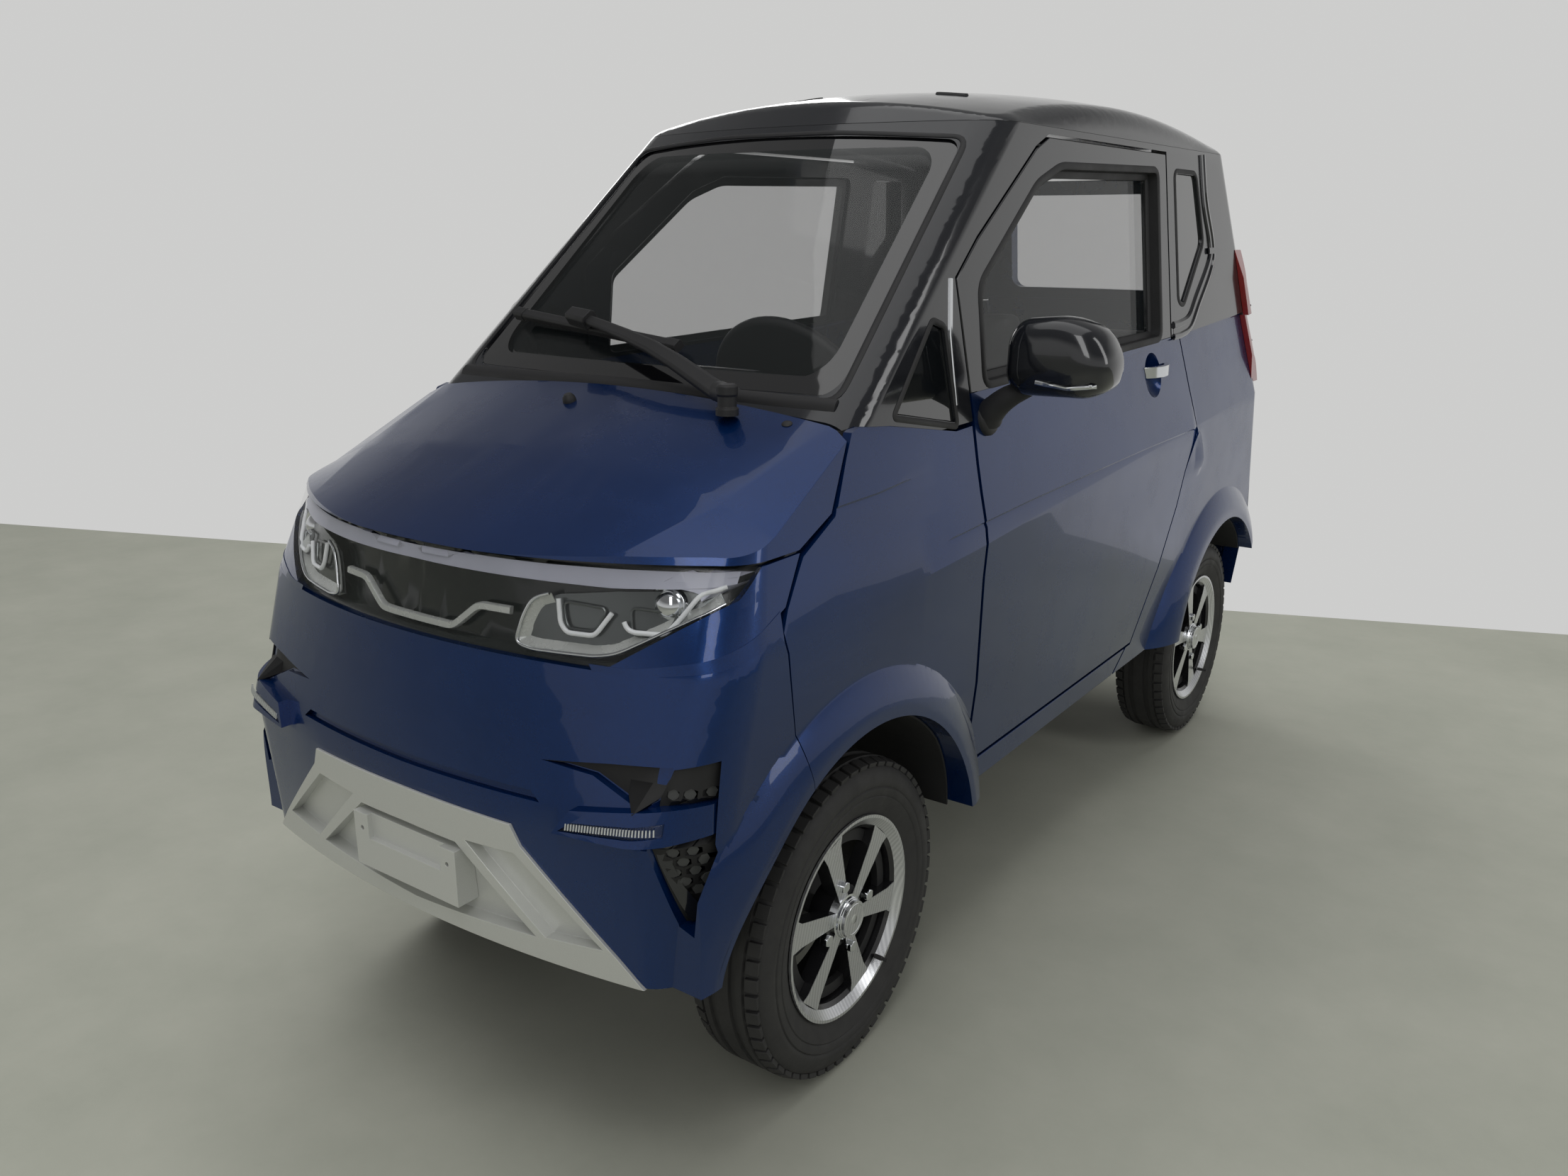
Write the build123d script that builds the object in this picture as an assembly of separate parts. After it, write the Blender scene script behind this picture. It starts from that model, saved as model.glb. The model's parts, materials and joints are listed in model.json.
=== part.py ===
from build123d import *
import math
import os

os.makedirs("parts", exist_ok=True)

# Enclosed four-wheel mobility scooter. Millimetres, +Z up, nose towards -Y, left side +X.
# The origin is on the ground, under the middle of the body's length.
# Stations along the body are given as distances behind the front hub (station 0).

# Driving sizes
wheelbase = 1717.0
front_overhang = 490.0
rear_overhang = 373.0
track_half = 394.5        # wheel centre plane from the middle
tyre_radius = 260.0
tyre_width = 135.0
rim_radius = 168.0        # outer edge of the alloy rim
body_height = 1585.0
sill_z = 350.0            # underside of the body
sill_top_z = 397.0
panel_wall = 34.0         # quarter panels and sills
door_wall = 38.0
roof_wall = 26.0
skin_wall = 14.0          # hood, fenders and bumper skins
glass_thickness = 6.0
pane_inset = 26.0         # depth of the door and hatch panes behind the skin
seam = 4.0                # gap between fixed panels
door_gap = 6.0            # gap round doors and the hatch
pane_gap = 0.3            # between a pane and its frame
seat_gap = 0.3            # between a piece and the seat that carries it
rail_z = 1485.0           # level where the roof panel sits on its rails
rail_half = 400.0
belt_half = 452.0
flare_half = 510.0        # widest point of the wheel flares
arch_radius = 343.0
rear_arch_radius = 334.0
floor_thickness = 18.0
hub_pin_radius = 15.0
running_fit = 0.05

hub_z = tyre_radius
body_length = wheelbase + front_overhang + rear_overhang
front_hub_y = front_overhang - body_length / 2
rear_hub_y = front_hub_y + wheelbase


def st(station):
    """Y of a station behind the front hub."""
    return front_hub_y + station


# Outer form of the body. Each level is one closed outline in a slightly tilted plane.
# name: (z at station 0, rise per mm, half width front, half width rear,
#        front middle, front side, rear middle, rear side, front corner radius, rear corner radius)
body_levels = {
    "sill": (sill_z, 0.0, 464, 464, -470, -415, 2062, 2030, 90, 60),
    "waist": (560, 0.0, 484, 484, -484, -425, 2090, 2050, 110, 70),
    "crease": (790, 0.055, 490, 488, -455, -340, 2048, 1966, 90, 70),
    "cowl": (1120, 0.0, 426, 440, -420, -190, 1990, 1893, 60, 60),
}
cabin_levels = {
    "belt": (975, 0.0713, 452, 452, -106, -92, 1996, 1905, 50, 50),
    "rail": (rail_z, 0.0, 400, 400, 440, 520, 1850, 1756, 85, 85),
}
least_corner = 8.0        # corner radius that is left on the innermost skins


def level(row, inset=0.0):
    z0, rise, xf, xr, fm, fs, rm, rs, front_radius, rear_radius = row
    xf, xr = xf - inset, xr - inset
    fm, fs, rm, rs = st(fm + inset), st(fs + inset), st(rm - inset), st(rs - inset)
    edges = [
        ThreePointArc((-xf, fs), (0, fm), (xf, fs)),
        Line((xf, fs), (xr, rs)),
        ThreePointArc((xr, rs), (0, rm), (-xr, rs)),
        Line((-xr, rs), (-xf, fs)),
    ]
    face = make_face(edges)
    middle = (st(0) + rear_hub_y) / 2
    for radius, side in ((front_radius, -1), (rear_radius, 1)):
        ends = [v for v in face.vertices() if side * (v.Y - middle) > 0]
        corners = [v for v in ends if abs(v.X) > xf - radius / 2]
        face = fillet(corners, max(radius - 0.6 * inset, least_corner))
    z_mid = z0 - rise * st(0)
    tilt = math.atan(rise)
    up = (0, -math.sin(tilt), math.cos(tilt))
    return Plane(origin=(0, 0, z_mid), x_dir=(1, 0, 0), z_dir=up) * face


def reached(low, high, reach):
    """The row beyond low, on the straight lines that join high to low."""
    share = reach / abs(high[0] - low[0])
    return tuple(a - share * (b - a) for a, b in zip(low, high))


def form(levels, inset, reach):
    rows = list(levels.values())
    if reach:
        rows = [reached(rows[0], rows[1], reach), *rows[1:-1], reached(rows[-1], rows[-2], reach)]
    return loft([level(row, inset) for row in rows], ruled=True)


def body_form(inset=0.0, reach=0.0):
    return form(body_levels, inset, reach)


def cabin_form(inset=0.0, reach=0.0):
    return form(cabin_levels, inset, reach)


def side_prism(points, x0=150.0, x1=700.0, grow=0.0, round_by=0.0):
    """Side-view outline (station, z) made solid from x0 out to x1 on the left side."""
    face = make_face(Polyline(*[(st(s), z) for s, z in points], close=True))
    if round_by:
        face = fillet(face.vertices(), round_by)
    if grow:
        face = offset(face, grow, kind=Kind.INTERSECTION)
    return extrude(Plane.YZ.offset(x0) * face, x1 - x0)


def both(shape):
    return Compound([*shape.solids(), *mirror(shape, Plane.YZ).solids()])


def other_side(shape):
    return mirror(shape, Plane.YZ)


def box(x0, x1, s0, s1, z0, z1):
    return Pos((x0 + x1) / 2, (st(s0) + st(s1)) / 2, (z0 + z1) / 2) * Box(x1 - x0, s1 - s0, z1 - z0)


def rod(p, q, radius):
    """Round bar between two points given as (x, station, z)."""
    a, b = Vector(p[0], st(p[1]), p[2]), Vector(q[0], st(q[1]), q[2])
    return extrude(Plane(origin=a, z_dir=(b - a).normalized()) * Circle(radius), (b - a).length)


def x_cylinder(radius, x0, x1, station, z):
    return extrude(Plane(origin=(x0, st(station), z), z_dir=(1, 0, 0)) * Circle(radius), x1 - x0)


nodes = {}

# Side-view outlines, as (station, z)
door_outline = [(352, 1008), (318, 1236), (398, 1297), (640, 1448), (697, 1470), (1314, 1470),
                (1312, 1077), (1382, 1081), (1436, 868), (1352, 690), (1252, 543), (1160, 401),
                (346, 401), (344, 820)]
belt_front, belt_door, belt_rear = (352, 1008), (1360, 1080), (2100, 1118)
door_window = [(402, 1064), (402, 1222), (640, 1385), (745, 1418), (1256, 1430), (1245, 1084)]
front_quarter = [(112, 1046), (236, 1170), (268, 1160), (290, 1013)]
rear_quarter_window = [(1372, 1158), (1372, 1430), (1512, 1430), (1548, 1282), (1400, 1150)]
hood_seam = [(-172, 898), (-87, 935), (-17, 1037)]
bumper_seam = [(-190, 560), (-235, 806)]
lamp_low = [(-520, 783), (-389, 772), (-220, 835)]
lamp_high = [(-172, 898), (-300, 897), (-520, 897)]

# Whole forms and hollows
body_outer = body_form()
cabin_outer = cabin_form()
body_hollow = body_form(skin_wall, 30)
body_thick_hollow = body_form(panel_wall, 30)
body_door_hollow = body_form(door_wall, 30)
cabin_hollow = cabin_form(panel_wall, 30)
arch_station = -34.0
arch_z = 270.0
front_arch = x_cylinder(arch_radius, 190, 700, arch_station, arch_z)
rear_arch = x_cylinder(rear_arch_radius, 190, 700, wheelbase, hub_z)
arches = [(arch_station, arch_z, arch_radius), (wheelbase, hub_z, rear_arch_radius)]


def flare(station, z, opening, swell=112.0, root_x=462.0, lip=12.0):
    """Half-round swelling of the body side round a wheel opening."""
    outer = opening + swell
    crown, top = (opening + 0.5 * swell, root_x + 35), (opening + lip, flare_half)
    profile = make_face([
        Line((0, root_x - 30), (outer, root_x - 30)),
        Line((outer, root_x - 30), (outer, root_x)),
        ThreePointArc((outer, root_x), crown, top),
        Line(top, (0, flare_half)),
        Line((0, flare_half), (0, root_x - 30)),
    ])
    disc = revolve(Plane(origin=(0, 0, 0), x_dir=(0, 1, 0), z_dir=(0, 0, -1)) * profile, Axis.X)
    return Pos(0, st(station), z) * disc


front_flare = flare(arch_station, arch_z, arch_radius) - box(0, 700, -900, 900, -200, sill_z)
rear_flare = flare(wheelbase, hub_z, rear_arch_radius) - box(0, 700, 1000, 2500, -200, sill_z)
front_flare &= box(0, 700, -405, 900, sill_z, 900)
rear_flare &= box(0, 700, 1000, 2052, sill_z, 900)

# Hood surface: crowned sections between two ridges, with a plain facet outside each ridge
# (station, middle z, ridge x, ridge z, edge z at the fender)
hood_sections = [
    (-520, 866, 255, 858, 835),
    (-220, 1000, 378, 963, 925),
    (40, 1088, 418, 1064, 1046),
]
hood_edge_x = 470.0
hood_skirt = 60.0         # how far the form runs on outside the hood's edge


def under_hood(drop=0.0):
    """Everything under the hood's surface."""
    faces = []
    for station, z_mid, ridge_x, z_ridge, z_edge in hood_sections:
        foot = hood_edge_x + hood_skirt
        right = [(ridge_x, z_ridge - drop), (hood_edge_x, z_edge - drop),
                 (foot, z_edge - drop - 1.2 * hood_skirt), (foot, 200)]
        left = [(-x, z) for x, z in reversed(right)]
        face = make_face([ThreePointArc(left[-1], (0, z_mid - drop), right[0]),
                          Polyline(*right), Line(right[-1], left[0]), Polyline(*left)])
        faces.append(Plane(origin=(0, st(station), 0), x_dir=(1, 0, 0), z_dir=(0, -1, 0)) * face)
    return loft(faces, ruled=True)


front_form = body_outer & under_hood()
front_hollow = body_hollow & under_hood(skin_wall)
front_shell = front_form - front_hollow

# Front bumper skin, the lamp bar and the hood are strips of the front shell
far = 560.0


def across(points):
    """Side-view outline made solid right across the body."""
    face = make_face(Polyline(*[(st(s), z) for s, z in points], close=True))
    return extrude(Plane.YZ.offset(-far) * face, 2 * far)


bumper_region = across([(-520, sill_z), (-190, sill_z), *bumper_seam, (-389, 768), (-520, 779)])
lamp_region = across([*[(s, z + seam / 2) for s, z in lamp_low], *lamp_high])
hood_region = across([(-520, 899 + seam), (-300, 899 + seam), (-172, 898 + seam), *hood_seam[1:],
                      (-10, 1200), (-520, 1200)])


def strip(region, form, flares=None):
    """Part of a shell inside a region, with the wheel flares and openings worked in."""
    piece = form & region
    if flares is not None:
        piece += flares & region
    for arch in (front_arch, rear_arch):
        piece = piece - arch - other_side(arch)
    return piece


def keep_main(shape, count=1):
    """The largest solids of a shape, without slivers that a cut leaves."""
    solids = sorted(shape.solids(), key=lambda s: -s.volume)[:count]
    return Compound(solids) if count > 1 else solids[0]


# Front bumper skin, hood and lamp bar
nodes["front_bumper"] = keep_main(strip(bumper_region, front_shell, both(front_flare)))
nodes["hood"] = keep_main(front_shell & hood_region)
lamp_shell = front_shell & lamp_region
lamp_lens_form = body_form(0, 40) - body_form(5, 40)
nodes["lamp_lens"] = keep_main(lamp_shell & lamp_lens_form)
# The housing carries the lens, and laps behind the hood above and the bumper below
lamp_depth = 60.0
lamp_box = (body_form(5 + seat_gap, 40) & lamp_region & under_hood(5)) - body_form(lamp_depth, 40)
lap = body_form(skin_wall + seat_gap, 40) - body_form(lamp_depth, 40)
lap &= under_hood(skin_wall + seat_gap)
lap &= across([(-520, 745), (-240, 745), (-240, 890), (-300, 935), (-520, 935)])
nodes["lamp_housing"] = keep_main(lamp_box + lap)

# Front fenders
fender_outline = [(-186, 540), (-231, 806), (-216, 832), (-166, 892), (-82, 930), (-10, 1034),
                  (10, 1040), (90, 1032), (290, 999), (345, 1001), (338, 820), (340, sill_z),
                  (280, sill_z), (-60, sill_z)]
fender = side_prism(fender_outline)
left_fender = keep_main((body_outer - body_hollow) & fender)
left_fender = keep_main((left_fender + (front_flare & fender)) - front_arch)
nodes["front_fenders"] = both(left_fender)

# Doors: lower skin and window frame in one thick panel, with the window cut
door_solid = (body_outer - body_door_hollow) & side_prism(
    [(300, 200), (300, 1005.3), belt_front, belt_door, (1500, 1090), (1500, 200)])
door_upper = (cabin_outer - cabin_form(door_wall, 30)) & side_prism(
    [(200, 997), belt_front, belt_door, (1500, 1090), (1500, 1600), (200, 1600)])
door_blank = (door_solid + door_upper) & side_prism(door_outline, grow=-door_gap / 2)
window = side_prism(door_window, round_by=22)
left_door = keep_main(door_blank - window)
nodes["door_panel_left"] = left_door
pane_layer = cabin_form(pane_inset, 10) - cabin_form(pane_inset + glass_thickness, 60)
left_glass = keep_main(pane_layer & side_prism(door_window, grow=-pane_gap, round_by=22))
nodes["door_glass_left"] = left_glass

# Cabin frame: pillars, roof rails and the arch over the hatch
aperture = side_prism(door_outline, grow=door_gap / 2)
cabin_shell = cabin_outer - cabin_hollow
belt_top = [(s, z + seat_gap) for s, z in (belt_front, belt_door, belt_rear)]
above_belt = side_prism([(-140, 1002), *belt_top, (2100, 1700), (-140, 1700)], -far, far)


def screen_outline(grow):
    """Windscreen opening seen from the front, as a prism along Y."""
    half_low, half_high, low = 390 + grow, 352 + grow, 1076 - grow
    face = make_face([
        Line((-half_low, low), (half_low, low)),
        Line((half_low, low), (half_high, 1452 + grow)),
        ThreePointArc((half_high, 1452 + grow), (0, 1466 + grow), (-half_high, 1452 + grow)),
        Line((-half_high, 1452 + grow), (-half_low, low)),
    ])
    face = fillet(face.vertices(), 30)
    return extrude(Plane(origin=(0, st(700), 0), x_dir=(1, 0, 0), z_dir=(0, -1, 0)) * face, 1200)


hatch_outline = [(300, 812), (300, 1120), (262, 1440)]


def hatch_prism(grow):
    pts = [(x + grow, z) for x, z in hatch_outline]
    pts[0] = (pts[0][0], pts[0][1] - grow)
    pts[-1] = (pts[-1][0], pts[-1][1] + grow)
    face = make_face(Polyline(*pts, *[(-x, z) for x, z in reversed(pts)], close=True))
    face = fillet(face.vertices(), 28)
    return extrude(Plane(origin=(0, st(1500), 0), x_dir=(1, 0, 0), z_dir=(0, -1, 0)) * face, -800)


frame = (cabin_shell & above_belt) - screen_outline(0) - hatch_prism(door_gap / 2)
frame = frame - aperture - other_side(aperture)
for opening in (side_prism(front_quarter), side_prism(rear_quarter_window, round_by=18)):
    frame = frame - opening - other_side(opening)
frame = frame - across([(-300, 900), (-10 + seam, 900), (-10 + seam, 1200), (-300, 1200)])
fender_cut = side_prism(fender_outline, grow=seat_gap)
nodes["cabin_frame"] = keep_main(frame - fender_cut - other_side(fender_cut))

front_layer = cabin_form(4, 10) - cabin_form(4 + glass_thickness, 60)
nodes["windshield"] = keep_main(front_layer & screen_outline(-pane_gap))
nodes["front_quarter_glass"] = both(keep_main(
    front_layer & side_prism(front_quarter, grow=-pane_gap)))
nodes["rear_quarter_glass"] = both(keep_main(
    front_layer & side_prism(rear_quarter_window, grow=-pane_gap, round_by=18)))

# Roof panel: the cabin's outline carried on upwards under a top crowned both ways
roof_middle = 1150.0      # station of the highest point
roof_long_radius, roof_cross_radius = 3800.0, 1731.0
roof_shoulder = 60.0


def under_roof(drop=0.0):
    """Everything under the crowned top: an arc across, turned about a distant axis fore and aft."""
    half = rail_half + 120
    edge = body_height - drop - half**2 / (2 * roof_cross_radius)
    low = rail_z - 185
    face = make_face([ThreePointArc((-half, edge), (0, body_height - drop), (half, edge)),
                      Polyline((half, edge), (half, low), (-half, low), (-half, edge))])
    profile = Plane(origin=(0, st(roof_middle), 0), x_dir=(1, 0, 0), z_dir=(0, -1, 0)) * face
    axis = Axis((0, st(roof_middle), body_height - roof_long_radius), (1, 0, 0))
    return revolve(profile.rotate(axis, 14), axis, -28)


def roof_block(inset):
    rail = cabin_levels["rail"]
    above = reached(rail, cabin_levels["belt"], 2 * (body_height - rail_z))
    return loft([level(rail, inset), level(above, inset)], ruled=True)


roof = (roof_block(0) & under_roof()).solids()[0]
top_edges = [e for e in roof.edges() if e.bounding_box().min.Z > rail_z + 5]
roof = fillet(top_edges, roof_shoulder)
roof = roof - (Pos(0, 0, -1) * roof_block(roof_wall) & under_roof(roof_wall))
nodes["roof_panel"] = Pos(0, 0, seat_gap) * keep_main(roof)

# Sills, rear quarters, rear bumper and hatch
low_shell = body_outer - body_thick_hollow
sill_region = side_prism([(345, sill_z), (345, sill_top_z), (1127, sill_top_z), (1070, sill_z)])
sill = keep_main(low_shell & sill_region)
# An inner flange stands behind the door's foot, where its seal sits
flange_skin = body_form(door_wall + seat_gap, 30) - body_form(door_wall + 16, 30)
sill += flange_skin & box(300, 500, 360, 1060, 375, sill_top_z + 28)
flange_root = body_form(panel_wall - 2, 30) - body_form(door_wall + 16, 30)
sill += flange_root & box(300, 500, 360, 1060, 375, sill_top_z)
nodes["sills"] = both(sill)
rear_region = side_prism([(1078, sill_z), (1135, sill_top_z), (1252, 540), (1352, 687), (1431, 868),
                          (1364, 1080.5), belt_rear, (2100, 715), (1985, 715), (1985, sill_z)], 286, 700)
rear_quarter = (low_shell + (rear_flare - body_thick_hollow)) & rear_region
rear_quarter = rear_quarter - rear_arch - aperture - hatch_prism(door_gap / 2)
nodes["rear_quarters"] = both(keep_main(rear_quarter))
bumper_band = across([(1989, sill_z), (1989, 711), (2200, 711), (2200, sill_z)])
bumper_band += box(-282, 282, 1850, 2200, 700, 900)
rear_bumper = (low_shell & bumper_band) - hatch_prism(door_gap / 2)
hatch_sill = body_form(panel_wall + seat_gap) - body_form(panel_wall + 18)
rear_bumper += hatch_sill & box(-282, 282, 1850, 2200, 700, 830)
sill_root = body_form(panel_wall - 2) - body_form(panel_wall + 18)
rear_bumper += sill_root & box(-282, 282, 1850, 2200, 720, 780)
nodes["rear_bumper"] = keep_main(rear_bumper)

# Hatch with its window, and the tail lamps
rear_shell = (low_shell & box(-400, 400, 1700, 2300, 700, 1119)) + (cabin_shell & above_belt)
hatch_window = [(228, 1150), (200, 1400)]


def hatch_window_prism(grow):
    (low_half, low), (high_half, high) = hatch_window
    pts = [(low_half + grow, low - grow), (high_half + grow, high + grow)]
    face = make_face(Polyline(*pts, *[(-x, z) for x, z in reversed(pts)], close=True))
    face = fillet(face.vertices(), 24)
    return extrude(Plane(origin=(0, st(1500), 0), x_dir=(1, 0, 0), z_dir=(0, -1, 0)) * face, -800)


nodes["hatch_panel"] = keep_main((rear_shell & hatch_prism(-door_gap / 2)) - hatch_window_prism(0))
nodes["hatch_glass"] = keep_main(pane_layer & hatch_window_prism(-pane_gap))
tail_outline = [(388, 925), (480, 925), (480, 1115), (432, 1262), (408, 1262), (388, 1115)]
tail_edge = [(1785, 1300), (1852, 1119), (1903, 925), (1910, 880), (2200, 880), (2200, 1300)]
tail_proud = 14.0
tail_view = Plane(origin=(0, st(1640), 0), x_dir=(1, 0, 0), z_dir=(0, -1, 0))
tail_prism = extrude(tail_view * make_face(Polyline(*tail_outline, close=True)), -600)
tail_body = body_form(-seat_gap, 40) + cabin_form(-seat_gap, 10)
tail_lamp = body_form(-tail_proud, 40) & box(300, 500, 1700, 2200, 800, 1119)
tail_lamp += cabin_form(-tail_proud, 10)
tail_lamp = (tail_lamp & tail_prism & side_prism(tail_edge)) - tail_body
nodes["tail_lamps"] = both(keep_main(tail_lamp - hatch_prism(0)))

# Front trim, drawn from the front as (x, z) and worked into the bumper's corners
front_view = Plane(origin=(0, st(-300), 0), x_dir=(1, 0, 0), z_dir=(0, -1, 0))
insert_half = [(0, sill_z - 1), (404, sill_z - 1), (368, 387), (226, 522), (212, 551), (0, 553)]
pocket_outline = [(124, 503), (214, 508), (346, 396), (252, 388)]
plate_recess = [(0, 372), (236, 384), (104, 494), (0, 496)]
vent_outline = [(432, 660), (476, 668), (481, 438), (450, 446), (417, 572), (420, 622)]
eyebrow_outline = [(252, 646), (351, 657), (434, 663), (423, 622), (404, 606), (330, 639)]
groove_outline = [(0, 588), (256, 590), (240, 603), (0, 602)]
blade_outline = [(294, 565), (316, 598), (407, 611), (474, 614), (476, 574), (440, 568)]
lens_outline = [(304, 570), (321, 583), (438, 597), (438, 580)]
insert_depth, insert_proud = 24.0, 4.0
pocket_depth, recess_depth = 13.0, 17.0
blade_proud, crease_depth = 18.0, 9.0
vent_outer, vent_inner = 7.0, 13.0     # depths of the honeycomb's two faces
lens_depth = 8.0
bracket_half, bracket_low, bracket_high = 112.0, 398.0, 484.0
notch_half, notch_low, notch_depth = 80.0, 446.0, 9.0
cell_radius, cell_pitch, cell_rise = 7.6, 17.0, 14.7


def front_prism(points, grow=0.0):
    face = make_face(Polyline(*points, close=True))
    if grow:
        face = offset(face, grow, kind=Kind.INTERSECTION)
    return extrude(front_view * face, 300)


def mirrored(points):
    """A half outline from the middle outwards, closed with its mirror image."""
    return [*points, *[(-x, z) for x, z in reversed(points) if x > 0]]


def skin(outside, inside):
    """The layer of the body between two depths below its outer form."""
    return body_form(outside, 40) - body_form(inside, 80)


def sunk(points, depth):
    """What a recess of this outline takes out of the skin."""
    return front_prism(points) - body_form(depth, 40)


def nose(forward):
    """The outer form moved towards the front, so that its sides stay where they are."""
    return Pos(0, -forward, 0) * body_form(0, 40)


blade = (nose(blade_proud) - body_form(vent_outer - seat_gap, 80)) & front_prism(blade_outline)
lens_slot = nose(blade_proud + 1) - nose(blade_proud - lens_depth - seat_gap)
lens_slot &= front_prism(lens_outline, seat_gap)
bumper = nodes["front_bumper"]
vent_opening = front_prism(vent_outline)
bumper = bumper - vent_opening - other_side(vent_opening)
eyebrow = sunk(eyebrow_outline, crease_depth)
bumper = bumper - eyebrow - other_side(eyebrow) - sunk(mirrored(groove_outline), crease_depth)
bumper = bumper - front_prism(mirrored(insert_half), seat_gap)
bumper = keep_main(bumper + both(blade - front_arch) - both(lens_slot))
nodes["front_bumper"] = bumper

insert = skin(-insert_proud, insert_depth) & front_prism(mirrored(insert_half))
pocket = sunk(pocket_outline, pocket_depth)
insert = insert - pocket - other_side(pocket) - sunk(mirrored(plate_recess), recess_depth)
nodes["bumper_insert"] = keep_main(insert)
bracket = box(-bracket_half, bracket_half, -front_overhang, -400, bracket_low, bracket_high)
notch_end = notch_depth - front_overhang
bracket -= box(-notch_half, notch_half, -front_overhang, notch_end, notch_low, bracket_high)
plate_hole = extrude(Plane(origin=(94, st(-520), 460), z_dir=(0, 1, 0)) * Circle(3.5), 60)
bracket = (bracket - plate_hole - other_side(plate_hole)) - body_form(recess_depth - seat_gap, 40)
nodes["plate_bracket"] = keep_main(bracket)

# Honeycomb vents behind the openings at the corners
vent = (skin(vent_outer, vent_inner) & front_prism(vent_outline, -seat_gap)) - front_arch
cells = []
for row in range(13):
    for column in range(4):
        x, z = 416 + cell_pitch * (column + 0.5 * (row % 2)), 450 + cell_rise * row
        cells.append(Pos(x, z) * RegularPolygon(cell_radius, 6, rotation=30))
cell_region = make_face(Polyline(*vent_outline, close=True))
cell_region = offset(cell_region, -6, kind=Kind.INTERSECTION)
cells = [c for c in cells if (c & cell_region).area > 0.8 * c.area]
cells = [c for c in cells if not blade_outline[0][1] - 5 < c.center().Y < 618]
vent = vent - extrude(front_view * Compound(cells), 300)
nodes["bumper_vents"] = both(keep_main(vent))
lens = (nose(blade_proud) - nose(blade_proud - lens_depth)) & front_prism(lens_outline)
nodes["corner_lamps"] = both(keep_main(lens))

# Chassis: two rails with cross members
rail_x0, rail_x1, rail_low, rail_high = 150.0, 190.0, 296.0, 344.0
jack_station, jack_pad_height = 500.0, 12.0
chassis = box(rail_x0, rail_x1, -400, 1980, rail_low, rail_high)
chassis += other_side(chassis)
for station in (-380, -120, 330, 1060, 1380, 1960):
    chassis += box(-rail_x0, rail_x0, station - 22, station + 22, rail_low + 6, rail_high)
jack_pad = box(rail_x0, rail_x1, jack_station - 40, jack_station + 40,
               rail_low - jack_pad_height, rail_low + 10)
chassis += jack_pad + other_side(jack_pad)
nodes["chassis_frame"] = chassis

floor_low = rail_high + seat_gap
floor_high = floor_low + floor_thickness
floor = box(-460, 460, 352, 1066, floor_low, floor_high)
floor += box(-189.7, 189.7, -440, 2060, floor_low, floor_high)
for station, z, radius in arches:
    wing = x_cylinder(radius - 0.6, 184, 189.7, station, z)
    wing &= box(0, 300, station - 600, station + 600, floor_low, 800)
    floor += wing + other_side(wing)
nodes["floor_pan"] = floor & body_form(panel_wall + seat_gap, 30)
nodes["battery_block"] = box(-200, 200, 720, 1040, floor_high + seat_gap, 560)

liners = []
for station, z, radius in arches:
    ring = x_cylinder(radius - seat_gap, 190, 476, station, z)
    ring -= x_cylinder(radius - 4, 180, 480, station, z)
    ring &= box(0, 700, station - 700, min(station + 700, 1984), sill_z - 10, 900)
    liners.append(keep_main(ring & body_form(2, 60)))
nodes["arch_liners"] = Compound([s for liner in liners for s in both(liner).solids()])

# Front suspension arms and struts, rear axle with its motor and leaf springs
kingpin_x = 308.0
suspension = None
for z, radius in ((hub_z - 58, 11), (hub_z + 46, 9)):
    for reach in (-95, 95):
        arm = rod((rail_x1 - 8, reach, 320 if z > hub_z else 306), (kingpin_x, 0, z), radius)
        suspension = arm if suspension is None else suspension + arm

axle_radius = 30.0
axle = x_cylinder(axle_radius, -300, 300, wheelbase, hub_z) + x_cylinder(80, -95, 20, wheelbase, hub_z)
axle += x_cylinder(100, 262, 318, wheelbase, hub_z) + x_cylinder(100, -318, -262, wheelbase, hub_z)
axle += x_cylinder(hub_pin_radius, -430, 430, wheelbase, hub_z)
nodes["rear_axle"] = axle
leaf = box(rail_x0 + 4, rail_x1 - 4, wheelbase - 270, wheelbase + 230,
           hub_z + axle_radius + seat_gap, rail_low - seat_gap)
nodes["rear_springs"] = both(leaf)

# Seats, dashboard and steering wheel
nodes["front_seat"] = box(-205, 205, 640, 1060, 560 + seat_gap, 660) + box(-205, 205, 1010, 1110, 655, 1150)
nodes["rear_seat"] = box(-380, 380, 1340, 1700, 600, 690) + box(-360, 360, 1640, 1740, 680, 1080)
nodes["seat_base"] = box(-180, 180, 1420, 1700, floor_high + seat_gap, 600 - seat_gap)
dash = side_prism([(20, 880), (20, 1010), (150, 1030), (290, 960), (300, 860), (200, 800)], -480, 480)
dash_low = dash & body_form(skin_wall + seat_gap) & box(-480, 480, 10, 310, 780, 972)
nodes["dashboard"] = keep_main(dash_low + (dash & cabin_form(panel_wall + seat_gap, 20)))
nodes["steering_column"] = keep_main(rod((0, 240, 878), (0, 479.7, 993.6), 20) - nodes["dashboard"])
wheel_plane = Plane(origin=(0, st(480), 994), x_dir=(1, 0, 0), z_dir=(0, 166, 80))
grip = Plane.XZ * Pos(165, 0) * RegularPolygon(13.5, 8)
steering_wheel = wheel_plane.location * revolve(grip, Axis.Z)
steering_wheel += extrude(wheel_plane * RegularPolygon(45, 12), 22)
steering_wheel += extrude(wheel_plane * Pos(0, 0, 3) * Rectangle(320, 30), 12)
steering_wheel += extrude(wheel_plane * Pos(0, -80, 3) * Rectangle(30, 160), 12)
nodes["steering_wheel"] = steering_wheel

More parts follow.
